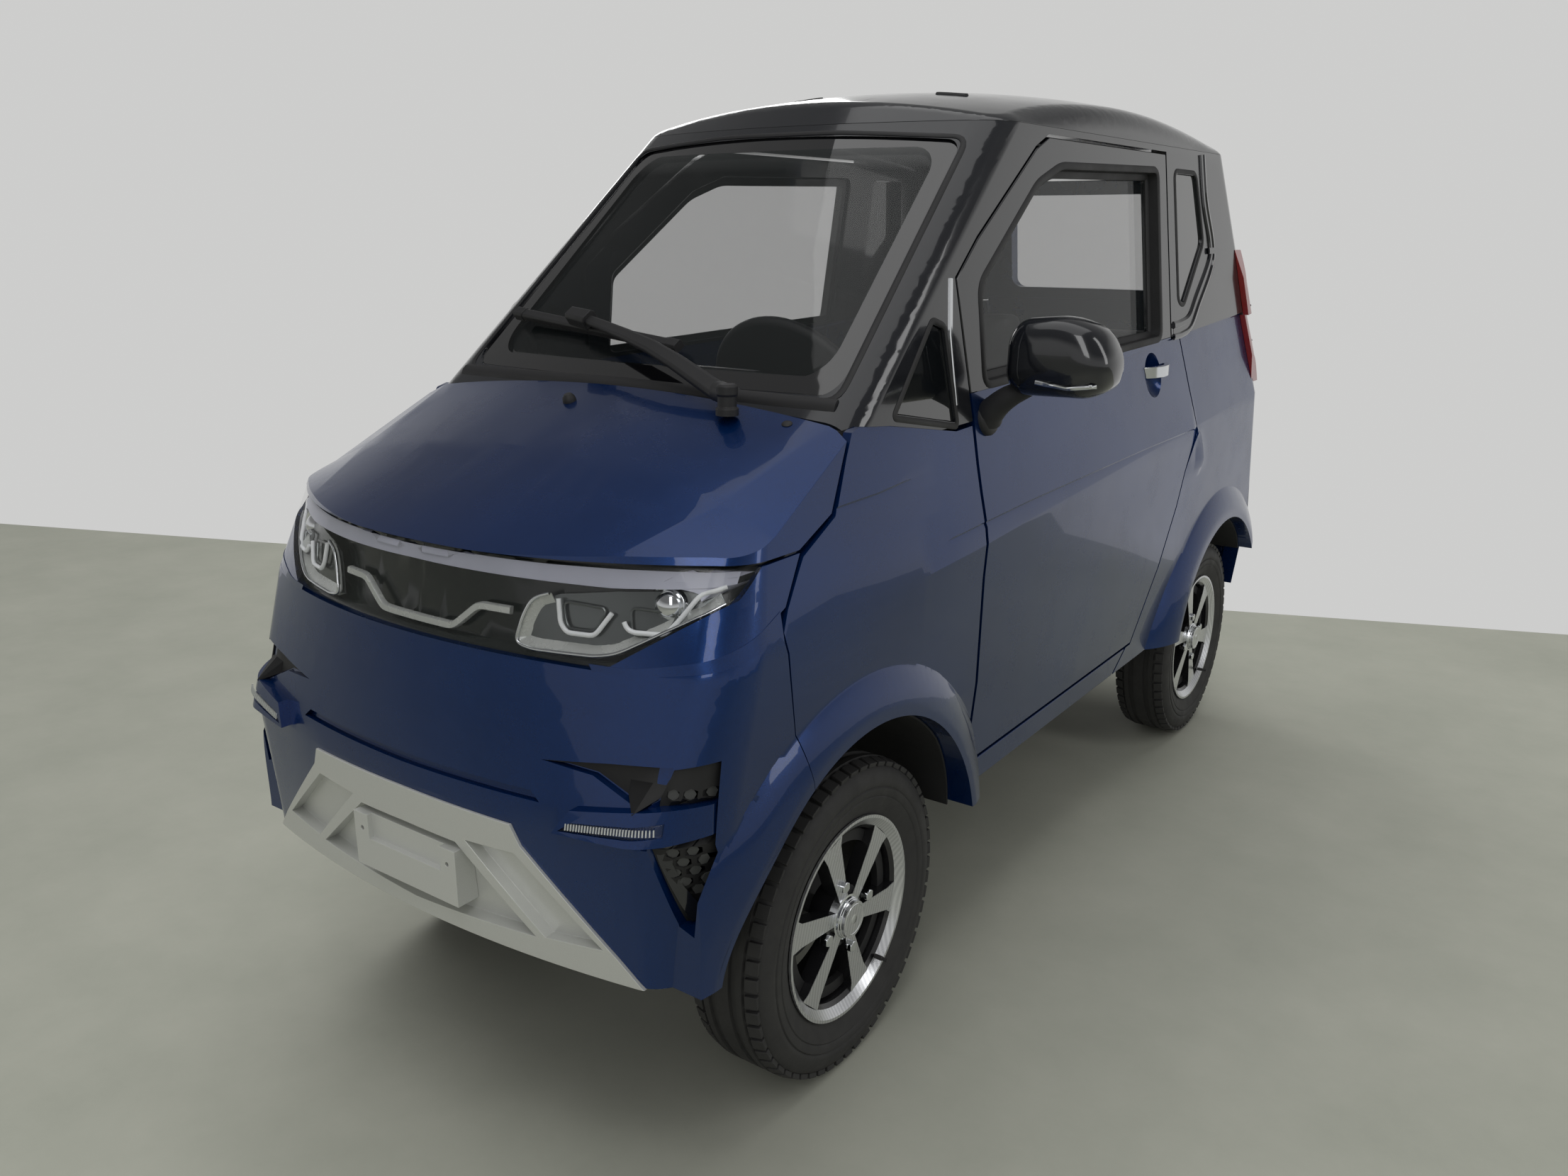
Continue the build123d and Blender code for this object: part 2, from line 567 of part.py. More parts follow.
# Wheels: tyre and six-spoke alloy rim, modelled about the X axis and moved into place
# The profiles are half sections as (x, radius), a spoke is drawn as (radius, across)
seat_radius = 152.4
tyre_profile = [(48, seat_radius), (62, 184), (tyre_width / 2, 222), (52, tyre_radius)]
rim_profile = [(-59.5, rim_radius), (-55.4, rim_radius), (-48.3, seat_radius - seat_gap),
               (48.3, seat_radius - seat_gap), (55.4, rim_radius), (59.5, rim_radius),
               (59.5, rim_radius - 5), (44, 143), (-59.5, 143)]
spoke_outline = [(24, -12), (24, 8), (125, 20), (148, 27), (148, -27), (133, -20)]
spoke_count, first_spoke = 6, 47.0
spoke_face, spoke_depth = 50.0, 26.0


def tyre_solid():
    points = [*tyre_profile, *[(-x, r) for x, r in reversed(tyre_profile)]]
    return revolve(make_face(Polyline(*points, close=True)), Axis.X)


def rim_solid():
    rim = revolve(make_face(Polyline(*rim_profile, close=True)), Axis.X)
    spoke = make_face(Polyline(*spoke_outline, close=True))
    spoke_back = Plane.YZ.offset(spoke_face - spoke_depth)
    for i in range(spoke_count):
        turned = Rot(0, 0, 360 / spoke_count * i + first_spoke) * spoke
        rim += extrude(spoke_back * turned, spoke_depth)
    rim += extrude(Plane.YZ.offset(8) * Circle(50), spoke_face - 14)
    rim += extrude(Plane.YZ.offset(spoke_face - 6) * Circle(30), 20)
    return rim - extrude(Plane.YZ * Circle(hub_pin_radius + running_fit), 46)


tyre, rim = tyre_solid(), rim_solid()
wheel_places = {"front_left": (track_half, 0, 1), "front_right": (track_half, 0, -1),
                "rear_left": (track_half, wheelbase, 1), "rear_right": (track_half, wheelbase, -1)}
for place, (x, station, side) in wheel_places.items():
    for kind, solid in (("tyre", tyre), ("rim", rim)):
        moved = Pos(x, st(station), hub_z) * solid
        nodes[f"{kind}_{place}"] = moved if side > 0 else other_side(moved)

kingpin_radius = 16.0
knuckle = Pos(kingpin_x, st(0), hub_z - 6) * Cylinder(kingpin_radius, 136)
knuckle += x_cylinder(34, kingpin_x, track_half - 40, 0, hub_z)
knuckle += x_cylinder(hub_pin_radius, kingpin_x, track_half + 36, 0, hub_z)
knuckle += x_cylinder(108, track_half - 56, track_half - 46, 0, hub_z)
knuckle += box(track_half - 68, track_half - 34, -120, -76, hub_z - 34, hub_z + 34)
nodes["knuckle_left"], nodes["knuckle_right"] = knuckle, other_side(knuckle)
arm_cut = Pos(kingpin_x, st(0), hub_z) * Cylinder(kingpin_radius + seat_gap, 300)
rail_face = box(0, rail_x1 + seat_gap, -300, 300, 200, 400)
suspension = suspension - arm_cut - rail_face - box(kingpin_x, 500, -200, 200, 100, 500)
nodes["front_suspension"] = both(keep_main(suspension))

# Door handles: a bowed strap over a round dish in the door's skin
handle_station, handle_z, handle_length, handle_height = 1212.0, 1015.0, 160.0, 24.0
handle_x, handle_bow = 447.0, 32.0
dish_radius = 64.0
dish = Pos(handle_x + 52, st(handle_station - 22), handle_z) * Sphere(dish_radius)
nodes["door_panel_left"] = keep_main(nodes["door_panel_left"] - dish)
bow = make_face([
    ThreePointArc((handle_x, -handle_length / 2), (handle_x + handle_bow, 0), (handle_x, handle_length / 2)),
    Line((handle_x, handle_length / 2), (handle_x - 12, handle_length / 2 - 8)),
    ThreePointArc((handle_x - 12, handle_length / 2 - 8), (handle_x + handle_bow - 11, 0),
                  (handle_x - 12, 8 - handle_length / 2)),
    Line((handle_x - 12, 8 - handle_length / 2), (handle_x, -handle_length / 2)),
])
strap = Pos(0, st(handle_station), handle_z - handle_height / 2) * extrude(bow, handle_height)
nodes["door_handle_left"] = keep_main(strap - body_form(-seat_gap, 40))

# Mirrors: a head lofted from three rounded outlines seen from the front, on a cranked arm with a foot
mirror_outline = [(492, 1078), (495, 1146), (514, 1174), (590, 1181), (648, 1162), (673, 1114), (666, 1072),
                  (634, 1054), (514, 1052)]
mirror_layers = [(340, 0.62), (350, 0.84), (368, 0.96), (394, 1.0), (436, 0.97)]
centre_x, centre_z = 582.0, 1117.0
sections = []
for station, share in mirror_layers:
    ring = [(centre_x + share * (x - centre_x), centre_z + share * (z - centre_z))
            for x, z in mirror_outline]
    face = make_face(Polyline(*ring, close=True))
    sections.append(Plane(origin=(0, st(station), 0), x_dir=(1, 0, 0), z_dir=(0, -1, 0)) * face)
head = loft(sections, ruled=True)
arm = rod((440, 392, 1018), (478, 386, 1030), 17) + rod((470, 388, 1026), (560, 392, 1075), 14)
nodes["mirror_left"] = keep_main((head + arm) - nodes["door_panel_left"] - nodes["door_glass_left"])

# Wiper: pivot on the hood, arm up to the middle of a blade that lies along the windscreen
blade_ends = [(-330, 96, 1162), (77, 44, 1128)]
arm_points = [(262, -62, 1066), (196, -30, 1087), (-128, 55, 1156)]
wiper = rod(*blade_ends, 7) + rod(arm_points[0], arm_points[1], 9) + rod(arm_points[1], arm_points[2], 7)
wiper += Pos(262, st(-62), 1062) * Cylinder(15, 56)
nodes["wiper"] = keep_main(wiper - nodes["hood"] - cabin_form(-1) - under_hood(-seat_gap))

for name in ("door_panel", "door_glass", "door_handle", "mirror"):
    nodes[f"{name}_right"] = other_side(nodes[f"{name}_left"])

for name, shape in nodes.items():
    export_step(shape, f"parts/{name}.step")
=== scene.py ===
import json
import math
import bmesh
import bpy
from mathutils import Matrix, Vector
from mathutils.bvhtree import BVHTree


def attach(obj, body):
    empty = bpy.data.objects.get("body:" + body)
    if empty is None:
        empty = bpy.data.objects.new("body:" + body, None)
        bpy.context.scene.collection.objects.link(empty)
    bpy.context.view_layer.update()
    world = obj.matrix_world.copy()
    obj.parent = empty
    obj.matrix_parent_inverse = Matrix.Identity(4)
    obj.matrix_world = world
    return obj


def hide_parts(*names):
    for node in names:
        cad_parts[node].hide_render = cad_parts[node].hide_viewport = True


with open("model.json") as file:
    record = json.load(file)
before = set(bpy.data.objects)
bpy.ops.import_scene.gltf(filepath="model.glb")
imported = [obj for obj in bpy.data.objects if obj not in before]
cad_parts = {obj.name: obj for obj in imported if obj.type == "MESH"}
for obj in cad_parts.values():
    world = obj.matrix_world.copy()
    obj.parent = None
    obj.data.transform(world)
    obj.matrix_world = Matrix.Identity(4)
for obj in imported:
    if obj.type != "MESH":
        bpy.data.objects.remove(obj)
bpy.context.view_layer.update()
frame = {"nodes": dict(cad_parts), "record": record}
scene = bpy.context.scene
print("frame loaded:", len(frame["nodes"]), "nodes")


class Wire:  # one socket of a material, with the usual arithmetic
    def __init__(self, finish, socket):
        self.finish, self.socket = finish, socket

    def maths(self, operation, *values):
        return self.finish.node("ShaderNodeMath", {"operation": operation}, dict(enumerate(values)))

    def __add__(self, other):
        return self.maths("ADD", self, other)

    def __sub__(self, other):
        return self.maths("SUBTRACT", self, other)

    def __rsub__(self, other):
        return self.maths("SUBTRACT", other, self)

    def __mul__(self, other):
        return self.maths("MULTIPLY", self, other)

    def __gt__(self, other):
        return self.maths("GREATER_THAN", self, other)

    def __lt__(self, other):
        return self.maths("LESS_THAN", self, other)

    __radd__, __rmul__ = __add__, __mul__


class Finish:  # a material whose nodes are added one call at a time
    def __init__(self, name, **sockets):
        self.material = bpy.data.materials.new(name)
        self.material.use_nodes = True
        self.tree = self.material.node_tree
        self.shader = self.tree.nodes["Principled BSDF"]
        for socket, value in sockets.items():
            self.set(socket.replace("_", " "), value)

    def set(self, socket, value):
        self.plug(self.shader.inputs[socket], value)

    def plug(self, target, value):
        if isinstance(value, Wire):
            self.tree.links.new(value.socket, target)
        elif isinstance(value, tuple) and len(value) == 3 and target.type == "RGBA":
            target.default_value = (*value, 1.0)
        else:
            target.default_value = value

    def node(self, kind, settings=None, inputs=None, out=0):
        made = self.tree.nodes.new(kind)
        for key, value in (settings or {}).items():
            if key == "stops":
                ramp = made.color_ramp
                while len(ramp.elements) < len(value):
                    ramp.elements.new(1.0)
                for element, (place, colour) in zip(ramp.elements, value):
                    element.position, element.color = place, (colour, colour, colour, 1.0)
            else:
                setattr(made, key, value)
        for key, value in (inputs or {}).items():
            self.plug(made.inputs[key], value)
        return Wire(self, made.outputs[out])

    def place(self, scale=1.0, turn=(0.0, 0.0, 0.0)):
        coords = self.node("ShaderNodeTexCoord", out=3)
        size = (scale, scale, scale) if isinstance(scale, (int, float)) else scale
        return self.node("ShaderNodeMapping", {}, {"Vector": coords, "Scale": size, "Rotation": turn})

    def noise(self, scale, detail=3.0, roughness=0.5, vector=None):
        return self.node("ShaderNodeTexNoise", {}, {"Vector": vector or self.place(), "Scale": scale,
                                                    "Detail": detail, "Roughness": roughness})

    def ramp(self, value, *stops):
        return self.node("ShaderNodeValToRGB", {"stops": stops}, {"Fac": value})

    def blend(self, mask, first, second):
        return self.node("ShaderNodeMix", {"data_type": "RGBA"}, {0: mask, 6: first, 7: second}, out=2)

    def bump(self, height, strength=0.2, distance=0.001):
        self.set("Normal", self.node("ShaderNodeBump", {}, {"Height": height, "Strength": strength,
                                                            "Distance": distance}))

    def dust(self, low, high, scale=7.0):
        limits = {"From Min": 0.3, "From Max": 0.7, "To Min": low, "To Max": high}
        value = self.noise(scale, 5.0, 0.6)
        self.set("Roughness", self.node("ShaderNodeMapRange", {}, {"Value": value, **limits}))

    def split(self, out):
        return self.node("ShaderNodeSeparateXYZ", {}, {0: self.place()}, out=out)


def mottled(name, first, second, grain, rough=None, dust=7.0, bump=None, **sockets):
    f = Finish(name, **sockets)   # two tones through a noise, a roughness that varies and a fine grain
    f.set("Base Color", f.blend(f.noise(*grain), first, second))
    if rough:
        f.dust(*rough, dust)
    if bump:
        f.bump(f.noise(*bump[:2]), *bump[2:])
    return f


paint = {"blue": (0.0008, 0.0052, 0.027), "blueFlake": (0.0016, 0.047, 0.225), "flakeScale": 2600.0,
         "grainShare": 0.45, "driftShare": 0.4, "roughness": (0.20, 0.31)}


def bluePaint():
    f = Finish("bluePaint", Metallic=0.62, Coat_Weight=0.6, Coat_Roughness=0.03, Specular_IOR_Level=0.3)
    flake = f.node("ShaderNodeTexVoronoi", {}, {"Vector": f.place(), "Scale": paint["flakeScale"]}, out=1)
    grain = f.node("ShaderNodeSeparateXYZ", {}, {0: flake}, out=0)
    drift = f.noise(2.2, 2.0)
    mixed = grain * paint["grainShare"] + drift * paint["driftShare"]
    f.set("Base Color", f.blend(mixed, paint["blue"], paint["blueFlake"]))
    f.dust(*paint["roughness"], 11.0)
    return f


def glossBlack():
    f = Finish("glossBlack", Base_Color=(0.008, 0.009, 0.012), Coat_Weight=0.6, Coat_Roughness=0.03)
    f.dust(0.09, 0.2)
    return f


glassSurface = {"Coat_Weight": 1.0, "Coat_Roughness": 0.01, "Roughness": 0.03, "Specular_IOR_Level": 0.9}


def shades(tone, *shares):
    return [tuple(c * share for c in tone) for share in shares]


def glassPane(name, tint, alpha):
    return mottled(name, *shades(tint, 1, 1.25), (3.0,), Alpha=alpha, **glassSurface)


screen = {   # metres: the clear field inside the printed border, and where the shade band begins
    "halfLow": 0.352, "halfHigh": 0.322, "low": 1.098, "high": 1.442, "corner": 0.045, "shade": 1.405}


def screenGlass():
    f = Finish("screenGlass", **glassSurface)
    x, z = f.node("ShaderNodeMath", {"operation": "ABSOLUTE"}, {0: f.split(0)}), f.split(2)
    middle, half = (screen["low"] + screen["high"]) / 2, (screen["high"] - screen["low"]) / 2
    lean = (screen["halfLow"] - screen["halfHigh"]) / (2 * half)
    right = x - screen["halfLow"] + (z - screen["low"]) * lean + screen["corner"]
    up = (z - middle).maths("ABSOLUTE", z - middle) - half + screen["corner"]
    outX, outZ = right.maths("MAXIMUM", right, 0.0), up.maths("MAXIMUM", up, 0.0)
    reach = right.maths("SQRT", outX * outX + outZ * outZ)
    border = reach > screen["corner"]
    shade = f.node("ShaderNodeMapRange", {}, {
        "Value": z, "From Min": screen["shade"], "From Max": screen["high"], "To Min": 0.0, "To Max": 0.35})
    f.set("Alpha", right.maths("MAXIMUM", border, shade + 0.16 + f.noise(3.0) * 0.02))
    f.set("Base Color", f.blend(border, (0.022, 0.027, 0.027), (0.004, 0.004, 0.005)))
    return f


def mattePlastic(name, shade, low=0.5, high=0.68, grain=900.0):
    return mottled(name, *shades(shade, 0.85, 1.2), (9.0, 4.0), (low, high), bump=(grain, 2.0, 0.25, 0.0004))


def brightMetal(name, shade, low, high, metallic=1.0):
    return mottled(name, *shades(shade, 0.92, 1), (40.0, 4.0), (low, high), 30.0, Metallic=metallic)


def seatLeather():
    f = mottled("seatLeather", (0.018, 0.018, 0.020), (0.034, 0.033, 0.036), (6.0, 4.0), (0.42, 0.58))
    cells = f.node("ShaderNodeTexVoronoi", {"feature": "DISTANCE_TO_EDGE"},
                   {"Vector": f.place(), "Scale": 420.0})
    f.bump(cells, 0.3, 0.0006)
    return f


finishes = {
    "blue_paint": bluePaint(),
    "gloss_black": glossBlack(),
    "silver_paint": mottled("silverPaint", (0.50, 0.51, 0.49), (0.70, 0.71, 0.68), (1800.0, 2.0),
                            (0.34, 0.44), Metallic=0.35, Coat_Weight=0.3, Coat_Roughness=0.12),
    "clear_glass": glassPane("clearGlass", (0.030, 0.036, 0.036), 0.20),
    "windscreen": screenGlass(),
    "lamp_inner": mattePlastic("lampDark", (0.006, 0.009, 0.008), 0.12, 0.22),
    "lamp_grey": brightMetal("lampGrey", (0.12, 0.13, 0.13), 0.16, 0.26, 0.7),
    "mirror": brightMetal("mirror", (0.80, 0.82, 0.84), 0.02, 0.04),
    "dark_glass": glassPane("darkGlass", (0.006, 0.007, 0.008), 0.9),
    "lamp_lens": glassPane("lampLens", (0.06, 0.065, 0.07), 0.07),
    "tail_lens": mottled("tailLens", (0.22, 0.004, 0.006), (0.36, 0.01, 0.012), (6.0,), (0.08, 0.16),
                         Coat_Weight=1.0, Coat_Roughness=0.02, Alpha=0.92),
    "matte_black": mattePlastic("matteBlack", (0.012, 0.012, 0.013)),
    # black plastic with painted shade: darker than the other black plastic, for the shade inside the bumper
    # vent's recess
    "vent_black_painted_shade": mattePlastic("ventBlackPaintedShade", (0.0035, 0.0035, 0.004)),
    "frame_paint": mattePlastic("framePaint", (0.014, 0.014, 0.015), 0.4, 0.6, 300.0),
    "cast_metal": mattePlastic("castMetal", (0.07, 0.07, 0.072), 0.5, 0.7, 250.0),
    "seat_leather": seatLeather(),
    "dash_plastic": mattePlastic("dashPlastic", (0.02, 0.02, 0.022)),
    "bright_metal": brightMetal("brightMetal", (0.78, 0.80, 0.82), 0.08, 0.16),
    "tyre_rubber": mottled("tyreRubber", (0.012, 0.012, 0.013), (0.035, 0.034, 0.033), (14.0, 6.0, 0.7),
                           (0.55, 0.78), 20.0, (500.0, 3.0, 0.2, 0.0005)),
    "lamp_white": mattePlastic("lampWhite", (0.78, 0.80, 0.82), 0.15, 0.25),
    "lilac_trim": mattePlastic("lilacTrim", (0.42, 0.43, 0.52), 0.3, 0.45),
    "cell_grey": mattePlastic("cellGrey", (0.045, 0.047, 0.046), 0.45, 0.6),
    "lamp_silver": brightMetal("lampSilver", (0.60, 0.62, 0.60), 0.22, 0.32, 0.35),
}
finishes = {name: finish.material for name, finish in finishes.items()}
print("finishes made")

record = frame["record"]
slotOf = {row["node"]: row["material_slot"] for row in record["subparts"]}
bodyOf = {node: body for body, members in record["behaviour"]["bodies"].items() for node in members}


def boxOf(node):
    thing = frame["nodes"][node]
    corners = [thing.matrix_world @ Vector(corner) for corner in thing.bound_box]
    return [Vector(pick(c[axis] for c in corners) for axis in range(3)) for pick in (min, max)]


def middleOf(node):
    low, high = boxOf(node)
    return (low + high) / 2


frontHub = middleOf("tyre_front_left")
tyreRadius = (boxOf("tyre_front_left")[1].z - boxOf("tyre_front_left")[0].z) / 2


def at(x, station, z):  # millimetres, with the station counted rearwards from the front hub
    return Vector((x / 1000, frontHub.y + station / 1000, z / 1000))


def pieceOf(shape, name, body, slot, smoothAngle=30.0, bevel=0.0, segments=2, material=None, replaced=None):
    if isinstance(shape, bmesh.types.BMesh):
        bm, shape = shape, bpy.data.meshes.new(name)
        bm.to_mesh(shape)
        bm.free()
    piece = bpy.data.objects.new(name, shape)
    scene.collection.objects.link(piece)
    if not shape.materials:
        shape.materials.append(material or finishes[slot])
    for face in shape.polygons:
        face.use_smooth = True
    shape.set_sharp_from_angle(angle=math.radians(smoothAngle))
    if bevel:
        edge = piece.modifiers.new("roundedEdges", "BEVEL")
        edge.width, edge.segments, edge.limit_method = bevel, segments, "ANGLE"
        edge.angle_limit, edge.harden_normals = math.radians(smoothAngle), False
        piece.modifiers.new("evenShading", "WEIGHTED_NORMAL").keep_sharp = True
    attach(piece, body)
    slot in slotOf.values()
    if replaced:
        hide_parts(replaced)
    return piece


def onePiece(name, build, body, slot, smoothAngle=30.0, bevel=0.0, material=None, turned=False, replaced=None):
    bm = bmesh.new()
    build(bm)
    if turned:   # into the mirror image in the vehicle's middle plane
        for vert in bm.verts:
            vert.co.x = -vert.co.x
        bmesh.ops.reverse_faces(bm, faces=bm.faces)
    pieceOf(bm, name, body, slot, smoothAngle, bevel, 2, material, replaced)


leftAndRight = (("left", False), ("right", True))


def sidePiece(name, build, body, slot, smoothAngle=30.0, bevel=0.0, material=None):
    for side, turned in leftAndRight:   # on both sides, riding each side's own body where there are two
        onePiece(name + "_" + side, build, body.format(side), slot, smoothAngle, bevel, material, turned)


def mergedCopy(node):
    bm = bmesh.new()
    bm.from_mesh(frame["nodes"][node].data)
    bmesh.ops.remove_doubles(bm, verts=bm.verts, dist=1e-5)
    bmesh.ops.dissolve_limit(bm, angle_limit=math.radians(0.4), verts=bm.verts, edges=bm.edges)
    return bm


def dressNode(node, bm=None, name=None, slot=None, smoothAngle=32.0, bevel=0.0015, material=None):
    pieceOf(bm or mergedCopy(node), name or "dressed_" + node, bodyOf[node], slot or slotOf[node],
            smoothAngle, bevel, 2, material, node)


corner = {"bladeLow": 562, "bladeHigh": 617, "bladeFrom": 396, "bladeTo": 474, "bladeEnd": 476.5,
          "bladeProud": 19.0, "tuckFrom": 404, "tuckTop": 560, "tuckLow": 350, "tuckShare": 0.74,
          "tuckAhead": -380, "tuckBehind": -200}


def eased(value, low, high):
    t = min(1.0, max(0.0, (value - low) / (high - low)))
    return t * t * (3 - 2 * t)


def shapedCorners(bm):  # blades run out into the side strips, and the bumper's lower corners narrow
    c = corner
    for vert in bm.verts:
        x, station, z = abs(vert.co.x) * 1000, (vert.co.y - frontHub.y) * 1000, vert.co.z * 1000
        if c["bladeLow"] < z < c["bladeHigh"] and x < c["bladeEnd"]:
            vert.co.y += c["bladeProud"] * eased(x, c["bladeFrom"], c["bladeTo"]) / 1000
        if x > c["tuckFrom"]:
            share = 1 - (1 - c["tuckShare"]) * eased(-z, -c["tuckTop"], -c["tuckLow"]) * eased(
                -station, -c["tuckBehind"], -c["tuckAhead"])
            vert.co.x = math.copysign((c["tuckFrom"] + (x - c["tuckFrom"]) * share) / 1000, vert.co.x)


doorsAndQuarters = ("door_panel_left", "door_panel_right", "front_fenders", "rear_quarters")
creases = {   # places (station, level) along each line, then (distance to its side, millimetres outwards)
    "beltLine": {"line": [(150, 836), (345, 844), (524, 850), (1080, 861), (1402, 864), (1444, 858)],
                 "press": [(95, 0), (48, 1.4), (14, 3.2), (1.5, 3.8), (-1.5, 1.8),
                          (-9, -3.8), (-38, -2.6), (-95, 0)],
                 "upright": False, "fadeIn": 120, "fadeOut": 30, "nodes": doorsAndQuarters},
    "fenderLine": {"line": [(-320, 937), (34, 943), (210, 954)],
                   "press": [(60, 0), (14, 2.4), (1.5, 3.0), (-1.5, 1.2), (-7, -2.2), (-28, -1.4), (-64, 0)],
                   "upright": False, "fadeIn": 10, "fadeOut": 120, "nodes": ("front_fenders",)},
    "quarterScoop": {"line": [(1436, 868), (1462, 842), (1486, 812), (1500, 786), (1502, 760), (1494, 738)],
                     "press": [(60, 0), (12, 2.0), (2, 3.0), (-4, -8.5), (-22, -7.5), (-50, -3.5), (-110, 0)],
                     "upright": True, "fadeIn": 16, "fadeOut": 40, "nodes": ("rear_quarters",)},
}
outerSkin = {"facing": 0.6, "furtherOutThan": 0.425}   # which faces of a node a pressed line moves


def outerPoints(bm):
    return {vert for face in bm.faces if face.normal.x * face.calc_center_median().x > 0.0
            and abs(face.normal.x) > outerSkin["facing"]
            and abs(face.calc_center_median().x) > outerSkin["furtherOutThan"] for vert in face.verts}


def pressed(bm, node):
    for crease in creases.values():
        if node not in crease["nodes"]:
            continue
        upright = crease["upright"]   # such a line runs downwards, and its sides lie behind and ahead of it

        def along(place):
            station, level = (place.y - frontHub.y) * 1000, place.z * 1000
            return (-level, station) if upright else (station, level)

        def spot(u, v):
            return at(0, v, -u) if upright else at(0, u, v)

        line = [(-level, station) if upright else (station, level) for station, level in crease["line"]]
        press, first, last = crease["press"], line[0][0], line[-1][0]
        fades = [first + crease["fadeIn"] * k / 3 for k in range(4)]
        fades += [last - crease["fadeOut"] * k / 3 for k in range(4)]
        for u in sorted({*fades, *[u for u, _ in line]}):
            bmesh.ops.bisect_plane(bm, geom=[*bm.verts, *bm.edges, *bm.faces], plane_co=spot(u, 0),
                                   plane_no=Vector((0, 0, 1)) if upright else Vector((0, 1, 0)), dist=1e-6)
        for (u1, v1), (u2, v2) in zip(line, line[1:]):
            for offset, _ in press:
                near = [f for f in bm.faces if u1 < along(f.calc_center_median())[0] < u2]
                parts = {v for f in near for v in f.verts} | {e for f in near for e in f.edges} | set(near)
                start, end = spot(u1, v1 + offset), spot(u2, v2 + offset)
                bmesh.ops.bisect_plane(bm, geom=list(parts), plane_co=start, dist=1e-6,
                                       plane_no=Vector((1, 0, 0)).cross(end - start).normalized())
        bm.normal_update()
        for vert in outerPoints(bm):
            u, v = along(vert.co)
            for (u1, v1), (u2, v2) in zip(line, line[1:]):
                if u1 - 0.01 <= u <= u2 + 0.01:
                    aside = v - v1 - (v2 - v1) * (u - u1) / (u2 - u1)
                    share = max(0.0, min(1.0, (u - first) / crease["fadeIn"], (last - u) / crease["fadeOut"]))
                    for (a1, d1), (a2, d2) in zip(press, press[1:]):
                        if a2 <= aside <= a1:
                            out = d1 + (d2 - d1) * (a1 - aside) / (a1 - a2)
                            vert.co.x += math.copysign(out * share / 1000, vert.co.x)
                            break
                    break
    return bm


def keptSide(bm, point, normal):  # the part of a closed mesh on the normal's side of a plane, closed again
    bmesh.ops.bisect_plane(bm, geom=[*bm.verts, *bm.edges, *bm.faces], dist=1e-6, plane_co=point,
                           plane_no=normal, clear_inner=True)
    rims = [edge for edge in bm.edges if edge.is_boundary]
    bmesh.ops.triangle_fill(bm, edges=rims, use_beauty=True)
    bmesh.ops.recalc_face_normals(bm, faces=bm.faces)
    return bm


def skinOf(*names):
    bm = bmesh.new()
    for name in names:
        bm.from_mesh(frame["nodes"][name].data)
    tree = BVHTree.FromBMesh(bm)
    bm.free()
    return tree


views = {
    "front": (lambda a, b: at(a, -900, b), Vector((0, 1, 0))),
    "rear": (lambda a, b: at(a, 2600, b), Vector((0, -1, 0))),
    "left": (lambda a, b: at(900, a, b), Vector((-1, 0, 0))),
    "top": (lambda a, b: at(a, b, 2000), Vector((0, 0, -1))),
}


def rounded(points, radius, steps=5):  # an outline with an arc at each corner
    curve = []
    for i, corner in enumerate(points):
        here = Vector(corner)
        before, after = Vector(points[i - 1]) - here, Vector(points[(i + 1) % len(points)]) - here
        reach = min(radius, before.length / 2.2, after.length / 2.2)
        first, last = here + before.normalized() * reach, here + after.normalized() * reach
        for step in range(steps + 1):
            t = step / steps
            curve.append(tuple(first * (1 - t) ** 2 + here * 2 * t * (1 - t) + last * t ** 2))
    return curve


def drape(points, view, skin, lift=0.0, spacing=14.0, closed=False):
    # places along a line of view coordinates on a skin, each with the skin's normal
    start, aim = views[view]
    trail, stops = [], []
    for first, last in zip(points, points[1:] + points[:1] if closed else points[1:]):
        steps = max(1, round(math.dist(first, last) / spacing))
        stops += [Vector(first).lerp(Vector(last), i / steps) for i in range(steps)]
    if not closed:
        stops.append(Vector(points[-1]))
    for stop in stops:
        place, normal, _, _ = skin.ray_cast(start(*stop), aim)
        if place is not None:
            trail.append((place, -normal if normal.dot(aim) > 0 else normal))
    even = []
    for i, (place, normal) in enumerate(trail):
        others = [trail[(i + k) % len(trail)][1] for k in (-1, 1)] if closed else [normal]
        mean = (normal + sum(others, Vector()) / len(others)).normalized()
        even.append((place + normal * lift / 1000, mean))
    return even


def sweep(bm, trail, profile, closed=False):  # a section of (side, up) millimetres carried along a trail
    rings, count = [], len(trail)
    for i, (place, normal) in enumerate(trail):
        before = trail[(i - 1) % count if closed else max(i - 1, 0)][0]
        after = trail[(i + 1) % count if closed else min(i + 1, count - 1)][0]
        side = (after - before).cross(normal).normalized()
        up = side.cross(after - before).normalized()
        rings.append([bm.verts.new(place + side * a / 1000 + up * b / 1000) for a, b in profile])
    for first, last in zip(rings, rings[1:] + rings[:1]) if closed else zip(rings, rings[1:]):
        for k in range(len(profile)):
            bm.faces.new((first[k], first[k - 1], last[k - 1], last[k]))
    if not closed:
        bm.faces.new(rings[0])
        bm.faces.new(reversed(rings[-1]))
    bmesh.ops.recalc_face_normals(bm, faces=bm.faces)


def trim(bm, points, view, skin, section, lift=0.0, spacing=8.0, closed=False):
    sweep(bm, drape(points, view, skin, lift, spacing, closed), section, closed)


def flatSection(width, low, high, crown=0.3):
    half, shoulder, flat = width / 2, low + (high - low) * (1 - crown), 0.55 * width / 2
    return [(-half, low), (-half, shoulder), (-flat, high), (flat, high), (half, shoulder), (half, low)]


def roundSection(radius, count=10):
    turns = [2 * math.pi * i / count for i in range(count)]
    return [(radius * math.cos(t), radius * math.sin(t)) for t in turns]


